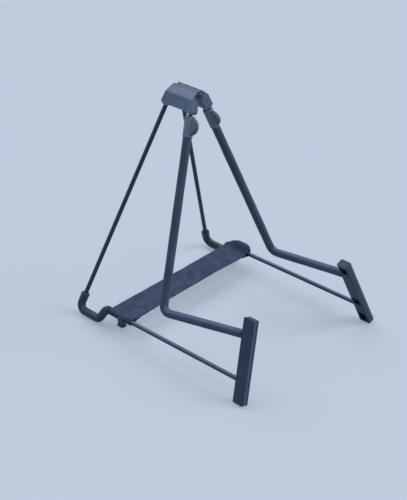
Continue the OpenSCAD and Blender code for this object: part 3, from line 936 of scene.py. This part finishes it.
@dataclass
class RodSleeve(SoftPiece):
    """A soft tube with rounded ends over one of the rods."""

    outer: float = LAYOUT.sleeve_radius
    bore: float = 3.05 * MM
    lip: float = 1.3 * MM
    ring_step: float = 0.9 * MM
    mouth_share: float = 0.3
    lip_points: int = 6
    around: int = 48

    def profile(self, start: float, stop: float) -> np.ndarray:
        """Closed profile of the wall: outside, rounded end, bore and rounded end.

        Args:
            start: Distance of the first end along the rod.
            stop: Distance of the other end.

        Returns:
            Rows of distance and radius, once round the wall.
        """
        run = np.linspace(start + self.lip, stop - self.lip, int((stop - start) / self.ring_step))
        turn = np.linspace(0, math.pi / 2, self.lip_points)
        sine, cosine = self.lip * np.sin(turn), self.lip * np.cos(turn)
        rounding, mouth = self.outer - self.lip, self.bore + self.mouth_share * self.lip
        return np.concatenate([
            stacked(run, self.outer),
            stacked(run[-1] + sine, rounding + cosine)[1:],
            [[stop, mouth]],
            stacked(run[::-1], self.bore),
            [[start, mouth]],
            stacked(run[0] - cosine, rounding + sine)[:-1],
        ])

    def tube(
        self,
        name: str,
        path: BentPath,
        profile: np.ndarray,
        swell: Callable[[np.ndarray, np.ndarray], np.ndarray],
    ) -> bpy.types.Object:
        """Carries the profile round and along the rod's path.

        A point is place(s) + r (cos a * side normal + sin a * outward), where a goes once
        round the rod, and r is the profile's radius plus the swell at s and a.

        Args:
            name: The piece's name after its side.
            path: The rod's path.
            profile: Rows of distance s and radius, once round the wall.
            swell: Extra radius as a function of distance and angle.

        Returns:
            The tube, in place.
        """
        s, a = np.broadcast_arrays(profile[:, :1], np.arange(self.around) * TURN / self.around)
        r = profile[:, 1:] + swell(s, a)
        place, heading = path.at(s)
        rings = stacked(
            STANCE.frame_gap + r * np.sin(a),
            place[..., 0] - r * np.cos(a) * np.sin(heading),
            place[..., 1] + r * np.cos(a) * np.cos(heading),
        )
        points = STANCE.to_row(self.side, rings).reshape(-1, 3)
        return surface(f"{self.side.word}_{name}", points, ring_faces(*s.shape, True))


@dataclass
class SoftLeg(RodSleeve):
    """Soft hose over one front rod, from the collar round the elbow to the end block."""

    node: ClassVar[str] = "leg_hose"
    slot: ClassVar[Slot] = Slot.HOSE
    is_padded: ClassVar[bool] = True
    lip: float = 0.9 * MM
    ring_step: float = 1.6 * MM
    inset: float = 5 * MM
    block_width: float = 18 * MM
    block_lean: float = math.radians(9.6)
    seat: float = 0.3 * MM
    creases: tuple[float, ...] = (-5.2 * MM, 0.0, 5.0 * MM)
    crease_depth: float = 0.28 * MM
    crease_spread: float = 1.7 * MM
    waves: tuple[Wave, ...] = (Wave(0.07 * MM, 61, 1.3), Wave(0.05 * MM, 143))

    def build(self) -> bpy.types.Object:
        """Makes the hose.

        It is a closed wall carried along the rod. In the bend's hollow three shallow
        creases lower the surface by a bell curve of the distance from each, and the
        whole hose swells and thins very slightly along its length by two sines.

        Returns:
            The hose, in place.
        """
        path = BentPath([LAYOUT.front_top, LAYOUT.elbow, LAYOUT.arm_end], [LAYOUT.elbow_bend])
        bend_middle = float(path.along[1] + path.along[-2]) / 2

        def swell(s: np.ndarray, angle: np.ndarray) -> np.ndarray:
            """Extra radius at a distance along the rod and an angle round it.

            Args:
                s: Distances along the rod.
                angle: Angles round it, from the bend's hollow.

            Returns:
                The extra radius.
            """
            hollow = np.clip(np.cos(angle), 0, 1) ** 2
            beside = ((s - bend_middle - place) / self.crease_spread for place in self.creases)
            dips = sum(np.exp(-away ** 2) for away in beside)
            swells = sum(wave.at(s, self.side.value) for wave in self.waves)
            return swells - self.crease_depth * hollow * dips

        start = LAYOUT.collar_start + self.inset
        in_block = self.block_width / 2 / math.cos(LAYOUT.arm_rise - self.block_lean)
        profile = self.profile(start, path.length - in_block - self.seat)
        return self.tube("hose", path, profile, swell)


@dataclass
class RearFoot(RodSleeve):
    """Rubber sleeve over the rear bend, the floor run and the step of one rear rod."""

    node: ClassVar[str] = "foot_sleeve"
    slot: ClassVar[Slot] = Slot.FOOT
    climb: float = 26 * MM
    rings: tuple[float, float] = (2.6 * MM, 2.4 * MM)
    ring_height: float = 0.45 * MM
    ring_spread: float = 1.3 * MM
    wave: Wave = Wave(0.06 * MM, 190)

    def path(self) -> BentPath:
        """The sleeve's path, from its upper end down and forward to its front end.

        Returns:
            The path.
        """
        corner, step = LAYOUT.rear_corner, LAYOUT.step_top
        upper_end = corner + unit(LAYOUT.on_rear_rod(0) - corner) * self.climb
        forward = np.array([-math.cos(LAYOUT.lower_rise), math.sin(LAYOUT.lower_rise)])
        corners = [upper_end, corner, LAYOUT.run_end, step, step + forward * LAYOUT.sleeve_ahead]
        return BentPath(corners, [LAYOUT.foot_bend, LAYOUT.jog_bend, LAYOUT.jog_bend])

    def build(self) -> bpy.types.Object:
        """Makes the sleeve: a closed wall along the path with a low moulded ring near each end.

        A ring is a flat-topped bell curve, and the outside has a very slight wave along it.

        Returns:
            The sleeve, in place.
        """
        path = self.path()
        profile = self.profile(0.0, path.length)
        outside = (profile[:, 1] > (self.outer + self.bore) / 2)[:, None]
        places = (self.rings[0], path.length - self.rings[1])

        def swell(s: np.ndarray, _: np.ndarray) -> np.ndarray:
            """Extra radius of the outside at a distance along the rod."""
            bands = sum(np.exp(-((s - place) / self.ring_spread) ** 4) for place in places)
            return (self.ring_height * bands + self.wave.at(s)) * outside

        return self.tube("foot", path, profile, swell)


@dataclass
class BackBumper(SoftPiece):
    """Soft disc ahead of one collar, where the guitar's back leans."""

    node: ClassVar[str] = "bumper"
    slot: ClassVar[Slot] = Slot.FOOT
    is_padded: ClassVar[bool] = True
    along_collar: float = 0.48
    forward: float = 4 * MM
    radius: float = 11.5 * MM
    thickness: float = 7 * MM
    back: float = 9.5 * MM
    edge: float = 2.6 * MM
    dish: float = 0.9 * MM
    face_points: int = 12
    rim_points: int = 7
    around: int = 64

    def profile(self) -> np.ndarray:
        """Half section as radius and width: a dished face, a raised lip and a crowned rim.

        Returns:
            Rows of radius and distance from the disc's middle plane, face to face.
        """
        half, flat = self.thickness / 2, self.radius - self.edge
        r = np.linspace(0, flat, self.face_points)
        hollow = half - self.dish * (0.5 + 0.5 * np.cos(math.pi * r / flat))
        turn = np.linspace(0, math.pi / 2, self.rim_points)[1:]
        rim = stacked(flat + self.edge * np.sin(turn), half - self.edge + self.edge * np.cos(turn))
        upper = np.concatenate([stacked(r, hollow), rim])
        return np.concatenate([upper, upper[::-1] * [1, -1]])

    def build(self) -> bpy.types.Object:
        """Makes the disc: the half section turned once about its axle.

        A point is middle + w * outward + r (cos a * ahead + sin a * along the rod), and
        its back is cut straight where r cos a would reach past the limit.

        Returns:
            The disc, in place.
        """
        down = unit(LAYOUT.elbow - LAYOUT.front_top)
        ahead = np.array([down[1], -down[0]])
        distance = LAYOUT.collar_start + self.along_collar * LAYOUT.collar_length
        middle = LAYOUT.front_top + down * distance + ahead * self.forward
        radius, width = (column[:, None] for column in self.profile().T)
        angle = np.arange(self.around) * TURN / self.around
        way = np.cos(angle)[:, None] * ahead + np.sin(angle)[:, None] * down
        behind = np.clip(-np.cos(angle), NEARLY_NOTHING, None)
        reach = np.minimum(radius, self.back / behind)
        y, z = np.moveaxis(middle + reach[..., None] * way, -1, 0)
        across = width + STANCE.frame_gap
        places = STANCE.to_row(self.side, stacked(across, y, z))
        rings = np.concatenate([places, stacked(reach, across)], axis=-1)
        return surface(f"{self.side.word}_bumper_disc", *capped(rings[1:-1]))


@dataclass(frozen=True)
class LoopShape:
    """How one strap end goes round its rod, in the loop's own x and z from the rod.

    The three values of a field belong to the loop's front edge, middle and rear edge.
    The gap is from the foot sleeve to the full strap's rear edge, and is below zero
    where the narrowed loop lies beside the sleeve.
    """

    gap: float
    ring_x: tuple[float, float, float]
    half_width: tuple[float, float, float]
    half_height: tuple[float, float, float]
    droop: float
    rear_taper: float = 0.0
    front_taper: float = 0.0
    taper_from: float = -11 * MM
    taper_to: float = 5 * MM


TIGHT_LOOP = LoopShape(gap=1.8 * MM, ring_x=(0.0,) * 3, half_width=(4.05 * MM,) * 3,
                       half_height=(4.05 * MM,) * 3, droop=2.2 * MM)
LOOSE_LOOP = LoopShape(gap=-4.6 * MM, ring_x=(0.0, 0.6 * MM, 0.2 * MM),
                       half_width=(4.3 * MM, 6.6 * MM, 5.6 * MM),
                       half_height=(4.5 * MM, 8.8 * MM, 7.7 * MM), droop=2.4 * MM,
                       rear_taper=13 * MM, front_taper=3 * MM)


@dataclass
class TieStrap:
    """Webbing strap between the lower rods, sewn back on itself round each rod."""

    width: float = 43 * MM
    thickness: float = 1.3 * MM
    edge_power: int = 24
    lap: float = 16 * MM
    top: float = 4.7 * MM
    sag: float = 0.5 * MM
    ripple: Wave = Wave(0.16 * MM, 34)
    ripple_across: float = 3.1
    ripple_turn: float = 5
    edge_wave: Wave = Wave(0.18 * MM, 47, 1)
    closing: float = 0.6
    hug: float = 0.55
    ease: float = 0.4
    fold_room: float = 0.15 * MM
    droop_reach: float = 0.3
    seam_inset: float = 3.2 * MM
    seam_rows: tuple[float, float] = (2.2 * MM, 8.2 * MM)
    seam_corner: float = 1.3 * MM
    stitch_pitch: float = 2.6 * MM
    stitch_share: float = 0.82
    stitch_radius: float = 0.34 * MM
    stitch_rise: float = 0.06 * MM
    stitch_tip: float = 0.04
    stitch_rings: int = 7
    stitch_sides: int = 6
    around: int = 56
    rows: int = 110
    lead_points: int = 16
    ring_points: int = 60
    seam_points: int = 20
    shapes: dict[Side, LoopShape] = field(
        default_factory=lambda: {Side.LEFT: TIGHT_LOOP, Side.RIGHT: LOOSE_LOOP})

    @property
    def upper_middle(self) -> float:
        """Height of the upper layer's middle above the rod's, at the lap."""
        return self.top - self.thickness / 2

    @property
    def tilt(self) -> float:
        """How much the leaning lower rod falls for each length towards the back."""
        return math.tan(LAYOUT.lower_rise) * math.cos(STANCE.lean)

    def rod_point(self, side: Side) -> np.ndarray:
        """The lower rod's axis where the strap's middle crosses it, in the row frame.

        Args:
            side: The rod's side.

        Returns:
            The point.
        """
        step_y, step_z = LAYOUT.step_top
        back = LAYOUT.sleeve_ahead + self.shapes[side].gap + self.width / 2
        spot = np.array([STANCE.frame_gap, step_y - back, step_z + back * math.tan(LAYOUT.lower_rise)])
        return STANCE.to_row(side, spot)

    def section(self) -> tuple[np.ndarray, np.ndarray]:
        """Cross-section of the webbing: a flat band with round edges.

        Its thickness at place e, from -1 to 1 across, is the full one times
        sqrt(1 - |e|^24). The places lie closer together towards the edges.

        Returns:
            Across and up of each point round the section.
        """
        count = self.around // 2
        row = (np.arange(count) + 0.5) * 2 / count - 1
        place = (0.5 * row + 0.5 * np.sin(row * math.pi / 2)) / (1 - 1 / self.around)
        swell = np.sqrt(1 - np.abs(place) ** self.edge_power)
        across = np.concatenate([place, place[::-1]]) * self.width / 2
        return across, np.concatenate([-swell, swell[::-1]]) * self.thickness / 2

    def half_web(self, side: Side) -> bpy.types.Object:
        """Makes the strap's half between the mid plane and one sewn end.

        The band runs straight between the two ends and sags by a parabola of the place
        t along it. Sines of t ripple it and wave its edges, and fade out by the same
        parabola. Near its end it hangs as the sewn end does.

        Args:
            side: The side that the half is sewn to.

        Returns:
            The half, in place.
        """
        a, b = (self.rod_point(s) + [-s.value * self.lap, 0, self.upper_middle] for s in Side)
        middle = -a[0] / (b[0] - a[0])
        limits = (0, middle) if side is Side.LEFT else (middle, 1)
        t = np.linspace(*limits, self.rows)[:, None]
        x, y, z = (a[k] + t * (b[k] - a[k]) for k in range(3))
        across, up = self.section()
        fade = 4 * t * (1 - t)
        crosswise = np.cos(self.ripple_across * across / self.width + self.ripple_turn * t)
        ripple = fade * self.ripple.at(t) * crosswise
        edge_wave = fade * self.edge_wave.at(t) * np.sign(across)
        to_end = t if side is Side.LEFT else 1 - t
        hang = smooth_step(to_end, self.droop_reach, 0) * self.droop(side, across / (self.width / 2))
        height = z + up + ripple - self.sag * fade - hang
        rings = stacked(x, y + across + edge_wave, height, across, x)
        return surface(f"{side.word}_strap_half", *capped(rings))

    def loop_lines(self, side: Side, edge: np.ndarray) -> np.ndarray:
        """Middle lines of the webbing round the rod, from the upper lap end to the lower one.

        Each line leaves the lap level, meets an upright oval, goes round it, and comes
        back under the upper layer. It meets the oval a little beyond the tangent from
        the lap, which is found where the oval is stretched into a unit circle. The
        oval's middle, width and height change smoothly from edge to edge of the strap.

        Args:
            side: The side of the loop.
            edge: Place of each line across the strap, from -1 in front to 1 behind.

        Returns:
            A grid, line point by place, of x outward and z up from the rod's axis.
        """
        shape = self.shapes[side]
        ahead = np.clip((-edge - self.closing) / (1 - self.closing), 0, 1)
        to_front, to_rear = 1 - np.sqrt(1 - ahead ** 2), np.clip(edge, 0, 1) ** 2

        def across_values(values: tuple[float, float, float]) -> np.ndarray:
            """A value at each line, from those at the front edge, the middle and the rear edge."""
            front, middle, rear = values
            return middle + (front - middle) * to_front + (rear - middle) * to_rear

        size = stacked(across_values(shape.half_width), across_values(shape.half_height))
        centre = stacked(across_values(shape.ring_x), size[:, 1] - self.upper_middle)
        upper = stacked(-self.lap, self.upper_middle - self.droop(side, edge))
        lower = upper - [0, self.thickness]

        def touch(point: np.ndarray, way: int) -> np.ndarray:
            """Angle at which a line from each point touches the oval, above or below."""
            d = (point - centre) / size
            return (np.arctan2(d[:, 1], d[:, 0]) % TURN) + way * np.arccos(1 / np.linalg.norm(d, axis=1))

        top, under = touch(upper, -1), touch(lower, 1) - TURN
        start = top + self.hug * np.clip(top - TURN / 4, 0, None)
        stop = under + self.hug * np.clip(under + TURN / 4, None, 0)
        angle = start + np.linspace(0, 1, self.ring_points)[:, None] * (stop - start)
        ring = centre + size * stacked(np.cos(angle), np.sin(angle))
        lead = self.ease_between(upper, ring[0], ring[1] - ring[0])
        tail = self.ease_between(lower, ring[-1], ring[-2] - ring[-1])
        return np.concatenate([lead, ring, tail[::-1]])

    def ease_between(self, flat: np.ndarray, end: np.ndarray, way: np.ndarray) -> np.ndarray:
        """Smooth curves that leave one point level and reach another along a given way.

        They are cubic curves, with each inner control point at a share of the span from its end.

        Args:
            flat: The points that the curves leave level.
            end: The points that they reach.
            way: Direction of the curves at their ends.

        Returns:
            A grid of points, without the last one of each curve.
        """
        span = np.linalg.norm(end - flat, axis=-1, keepdims=True) * self.ease
        first = flat + span * [1, 0]
        second = end - span * way / np.linalg.norm(way, axis=-1, keepdims=True)
        s = np.linspace(0, 1, self.lead_points + 1)[:-1, None, None]
        r = 1 - s
        return r ** 3 * flat + 3 * s * r ** 2 * first + 3 * s ** 2 * r * second + s ** 3 * end

    def droop(self, side: Side, edge: np.ndarray) -> np.ndarray:
        """How far the strap hangs down towards its front edge, where an end is sewn."""
        return self.shapes[side].droop * np.clip(-edge, 0, 1) ** 2

    def run_round(self, side: Side) -> np.ndarray:
        """Distance along the webbing's middle line, from lap to lap round the rod."""
        line = self.loop_lines(side, np.zeros(1))[:, 0]
        return np.concatenate([[0], np.cumsum(np.linalg.norm(np.diff(line, axis=0), axis=1))])

    def loop(self, side: Side) -> bpy.types.Object:
        """Makes one sewn end: webbing carried along the loop's lines.

        A point is line + up * line normal, moved across by its place times the half
        width, which narrows towards the rod by a smooth step of x.

        Args:
            side: The side of the loop.

        Returns:
            The loop, in place.
        """
        shape = self.shapes[side]
        flat_across, up = self.section()
        edge = flat_across / (self.width / 2)
        line = self.loop_lines(side, edge)
        step = np.gradient(line, axis=0)
        step /= np.linalg.norm(step, axis=-1, keepdims=True)
        narrow = np.where(edge > 0, shape.rear_taper, shape.front_taper)
        across = flat_across - edge * narrow * smooth_step(line[..., 0], shape.taper_from, shape.taper_to)
        rod = self.rod_point(side)
        lean_in = math.tan(LAYOUT.lower_rise) * math.sin(STANCE.lean)
        x = line[..., 0] - up * step[..., 1]
        z = line[..., 1] + up * step[..., 0]
        outward = side.value * (x + across * lean_in)
        along = rod[0] + side.value * (self.run_round(side) - self.lap)
        places = rod + stacked(outward, across, z - across * self.tilt)
        rings = np.concatenate([places, stacked(flat_across, along[:, None])], axis=-1)
        return surface(f"{side.word}_strap_end", *capped(rings))

    def stitch(self) -> tuple[np.ndarray, np.ndarray]:
        """One stitch that lies along x: a spindle whose radius is R sqrt(sin) of its length.

        Returns:
            Its points and its faces.
        """
        t = np.linspace(0, 1, self.stitch_rings)[:, None]
        spin = np.arange(self.stitch_sides) * TURN / self.stitch_sides
        bulge = np.sin(math.pi * (self.stitch_tip + (1 - 2 * self.stitch_tip) * t))
        r = self.stitch_radius * np.sqrt(bulge)
        length = self.stitch_pitch * self.stitch_share
        return capped(stacked((t - 0.5) * length, r * np.cos(spin), r * np.sin(spin)))

    def stitches(self, side: Side) -> bpy.types.Object:
        """Makes the seam on a sewn end: two rows of stitches across and two short ones along.

        Each stitch follows the webbing's top and is half sunk in it.

        Args:
            side: The side of the seam.

        Returns:
            All stitches of that seam as one piece.
        """
        half = self.width / 2 - self.seam_inset
        count = int(2 * half / self.stitch_pitch)
        y = ((np.arange(count) + 0.5) / count * 2 - 1) * half
        near, far = (row - self.lap for row in self.seam_rows)
        cross = [(x, v) for x in (near, far) for v in y]
        beside = [(x, v) for v in (-half, half) for x in (near + self.seam_corner, far - self.seam_corner)]
        x, y = np.array(cross + beside).T
        lines = self.loop_lines(side, y / (self.width / 2))[:self.seam_points]
        lie = np.array([np.interp(x[k], lines[:, k, 0], lines[:, k, 1]) for k in range(len(x))])
        height = lie + self.thickness / 2 + self.stitch_rise - self.tilt * y
        one, faces = self.stitch()
        turned = one[:, [1, 0, 2]] * [-1, 1, 1]
        is_beside = (np.arange(len(x)) >= len(cross))[:, None, None]
        local = np.where(is_beside, one, turned) + stacked(x, y, height)[:, None]
        points = self.rod_point(side) + local.reshape(-1, 3) * [side.value, 1, 1]
        every = faces + np.arange(len(x))[:, None, None] * len(one)
        return surface(f"{side.word}_seam", points, every.reshape(-1, 4))

    def fold_keep(self, side: Side) -> tuple[Vector, Vector, float]:
        """How a half shortens as the stand folds, so that it still ends in the mid plane.

        The end in the mid plane moves along the axis onto the plane that halves the
        angle between the frames, which has turned by half of the fold.

        Args:
            side: The half's side.

        Returns:
            The axis, the anchor, and the share of the length that is left.
        """
        turn = STANCE.fold / 2
        lower = turn / 2
        axis = Vector((-side.value * math.cos(lower), 0, -math.sin(lower)))
        rod = self.rod_point(side)
        height = rod[2] + self.upper_middle
        anchor = Vector((rod[0] - side.value * self.lap, rod[1], height))
        reach = abs(anchor.x) * math.cos(lower)
        drop = STANCE.hinge_height - height + self.sag
        share = drop * math.tan(turn) / (reach * (math.cos(lower) + math.tan(turn) * math.sin(lower)))
        return axis, anchor, 1 - share - self.fold_room / abs(anchor.x)

    def build(self, cloth: bpy.types.Material, thread: bpy.types.Material) -> list[bpy.types.Object]:
        """Builds and dresses the whole strap.

        Args:
            cloth: The webbing's material.
            thread: The seam's material.

        Returns:
            The strap's pieces.
        """
        made = []
        for side in Side:
            end, seam, half = self.loop(side), self.stitches(side), self.half_web(side)
            round_rod = float(self.run_round(side)[-1])
            dress(end, cloth)
            dress(half, cloth)
            dress(seam, thread)
            for piece in (end, seam):
                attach(piece, side.body)
            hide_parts(f"{side.word}_strap_loop")
            length = abs(self.rod_point(side)[0]) - self.lap
            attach(half, side.body)
            axis, anchor, keep = self.fold_keep(side)
            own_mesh(half)
            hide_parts("strap_web")
            log.info("strap %s: end %.1f mm round the rod, half %.1f mm, keeps %.3f",
                     side.word, round_rod / MM, length / MM, keep)
            made += [end, seam, half]
        return made


@dataclass
class GuitarStand:
    """The whole stand: packed hard parts with finishes, and soft pieces made here."""

    hard: dict[str, Finish] = field(default_factory=lambda: {
        "head_leaf": HEAD_PLASTIC, "clamp_plate": HEAD_PLASTIC, "collar": COLLAR_PLASTIC,
        "end_block": BLOCK_PLASTIC, "strap_clip": BLOCK_PLASTIC, "front_rod": ROD_COAT,
        "rear_rod": ROD_COAT, "clamp_screws": SCREW_STEEL, "block_screws": DARK_STEEL,
    })

    def dress_hard_parts(self) -> None:
        """Gives every packed hard part its finish."""
        made = {finish.name: finish.material() for finish in self.hard.values()}
        nodes = frame["nodes"]
        for part, finish in self.hard.items():
            for side in Side:
                dress(nodes[f"{side.word}_{part}"], made[finish.name])
        dress(nodes["hinge_pin"], made[DARK_STEEL.name])
        dress(nodes["hinge_pin_cap"], made[BLOCK_PLASTIC.name])
        log.info("hard parts: %d finishes", len(made))

    def build(self) -> None:
        """Builds the soft pieces side by side and the strap between them."""
        self.dress_hard_parts()
        hose, rubber, foam = (finish.material() for finish in (NAVY_HOSE, BLACK_RUBBER, GREY_FOAM))
        for side in Side:
            for part, finish in ((SoftLeg(side), hose), (RearFoot(side), rubber), (BackBumper(side), foam)):
                piece = part.build()
                part.stand_in(piece, finish)
                log.info("%s: %d faces", piece.name, len(piece.data.polygons))
        pieces = TieStrap().build(STRAP_CLOTH.material(), THREAD.material())
        log.info("strap: %d pieces", len(pieces))


@dataclass(frozen=True)
class SoftSun:
    """A wide distant lamp; its level is the share of white that it gives a surface facing it."""

    name: str
    level: float
    width: float
    toward: tuple[float, float, float]
    tint: Colour = (1.0, 1.0, 1.0)

    def on_floor(self) -> np.ndarray:
        """Share of white that the lamp gives a level surface, for red, green and blue."""
        return self.level * Vector(self.toward).normalized().z * np.array(self.tint)

    def build(self) -> None:
        """Makes the lamp."""
        light = bpy.data.lights.new(self.name, "SUN")
        light.energy = self.level * math.pi
        light.angle = self.width
        light.color = self.tint
        lamp = bpy.data.objects.new(self.name, light)
        lamp.rotation_mode = "QUATERNION"
        lamp.rotation_quaternion = Vector(self.toward).to_track_quat("Z", "Y")
        bpy.context.scene.collection.objects.link(lamp)


@dataclass(frozen=True)
class Studio:
    """Pale floor, low even sky, and two soft suns: at the camera's right and behind the stand."""

    backdrop: Colour = (0.521, 0.604, 0.737)
    sky: Colour = (0.28, 0.315, 0.365)
    glow: float = 0.5
    bounce: float = 0.45
    suns: tuple[SoftSun, ...] = (
        SoftSun("right_sun", 0.56, math.radians(36), (0.72, -0.68, 0.90), (0.95, 0.98, 1.0)),
        SoftSun("back_sun", 0.46, math.radians(50), (0.10, 0.60, 0.80), (0.90, 0.97, 1.05)),
    )

    def build(self) -> None:
        """Makes the floor, the sky and the suns."""
        corners = np.array([[-1, -1, 0], [1, -1, 0], [1, 1, 0], [-1, 1, 0]]) * FLOOR_REACH
        mesh = bpy.data.meshes.new("floor")
        mesh.from_pydata(corners.tolist(), [], [(0, 1, 2, 3)])
        floor = bpy.data.objects.new("floor", mesh)
        bpy.context.scene.collection.objects.link(floor)
        dress(floor, self.floor_paper())
        floor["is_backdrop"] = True
        self.build_sky()
        for sun in self.suns:
            sun.build()

    def seen(self, tree: bpy.types.NodeTree) -> bpy.types.NodeSocket:
        """Whether a ray looks at a surface or through glass or a reflection, and doesn't light it.

        Args:
            tree: The node tree that asks.

        Returns:
            The value, 1 where it looks and 0 where it lights.
        """
        rays = tree.nodes.new("ShaderNodeLightPath")
        total = rays.outputs["Is Camera Ray"]
        for key in ("Is Glossy Ray", "Is Transmission Ray"):
            add = tree.nodes.new("ShaderNodeMath")
            add.operation = "MAXIMUM"
            tree.links.new(total, add.inputs[0])
            tree.links.new(rays.outputs[key], add.inputs[1])
            total = add.outputs[0]
        return total

    def floor_paper(self) -> bpy.types.Material:
        """The floor's material.

        An open floor sends back colour * light. Where it is seen, that and a glow add
        up to the backdrop's colour, so that shadows stay and are light. Where it lights
        the stand, it is a darker paper without the glow.

        Returns:
            The material.
        """
        light = np.array(self.sky) + sum(sun.on_floor() for sun in self.suns)
        backdrop = np.array(self.backdrop)
        paper = bpy.data.materials.new("paper_floor")
        paper.use_nodes = True
        tree = paper.node_tree
        tree.nodes.clear()
        shown, dull = (tree.nodes.new("ShaderNodeBsdfDiffuse") for _ in range(2))
        shine = tree.nodes.new("ShaderNodeEmission")
        both, mix = tree.nodes.new("ShaderNodeAddShader"), tree.nodes.new("ShaderNodeMixShader")
        output = tree.nodes.new("ShaderNodeOutputMaterial")
        shown.inputs["Color"].default_value = (*(backdrop * (1 - self.glow) / light), 1.0)
        dull.inputs["Color"].default_value = (*(backdrop * self.bounce), 1.0)
        shine.inputs["Color"].default_value = (*(backdrop * self.glow), 1.0)
        tree.links.new(shown.outputs[0], both.inputs[0])
        tree.links.new(shine.outputs[0], both.inputs[1])
        tree.links.new(self.seen(tree), mix.inputs[0])
        tree.links.new(dull.outputs[0], mix.inputs[1])
        tree.links.new(both.outputs[0], mix.inputs[2])
        tree.links.new(mix.outputs[0], output.inputs["Surface"])
        return paper

    def build_sky(self) -> None:
        """Makes the world: the sky's even light, and the backdrop's colour where it is seen."""
        world = bpy.data.worlds.new("studio_sky")
        world.use_nodes = True
        tree = world.node_tree
        sky = tree.nodes["Background"]
        shown = tree.nodes.new("ShaderNodeBackground")
        mix = tree.nodes.new("ShaderNodeMixShader")
        sky.inputs["Color"].default_value = (*self.sky, 1.0)
        shown.inputs["Color"].default_value = (*self.backdrop, 1.0)
        tree.links.new(self.seen(tree), mix.inputs[0])
        tree.links.new(sky.outputs[0], mix.inputs[1])
        tree.links.new(shown.outputs[0], mix.inputs[2])
        tree.links.new(mix.outputs[0], tree.nodes["World Output"].inputs["Surface"])
        bpy.context.scene.world = world


@dataclass(frozen=True)
class StudioCamera:
    """The photograph's camera: its place, how it turns from +Y, how far it looks down, and its lens."""

    place: tuple[float, float, float] = (-1.01615, -0.93188, 0.91049)
    azimuth: float = math.radians(-46.3174)
    elevation: float = math.radians(30.2099)
    lens: float = 84.80
    sensor: float = 36.0
    nearest: float = 0.05
    farthest: float = 50.0

    def build(self) -> None:
        """Makes the camera and the scene's view settings."""
        data = bpy.data.cameras.new("studio_camera")
        data.lens = self.lens
        data.sensor_width = self.sensor
        data.sensor_fit = "AUTO"
        data.clip_start, data.clip_end = self.nearest, self.farthest
        camera = bpy.data.objects.new("studio_camera", data)
        camera.location = self.place
        camera.rotation_euler = (math.pi / 2 - self.elevation, 0, self.azimuth)
        bpy.context.scene.collection.objects.link(camera)
        bpy.context.scene.camera = camera
        bpy.context.scene.view_settings.view_transform = "Standard"


def write_sizes() -> None:
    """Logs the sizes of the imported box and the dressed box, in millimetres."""
    boxes = {"cad": CAD_BOX, "visual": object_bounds()}
    rows = {key: [list(corner) for corner in box] for key, box in boxes.items()}
    for key, (low, high) in rows.items():
        log.info("%s box %s mm", key, [round((b - a) / MM, 1) for a, b in zip(low, high)])


def main() -> None:
    """Builds the camera, the stage and the stand, in that order."""
    logging.basicConfig(level=logging.INFO, format="%(name)s: %(message)s")
    StudioCamera().build()
    Studio().build()
    GuitarStand().build()
    write_sizes()


if __name__ == "__main__":
    main()
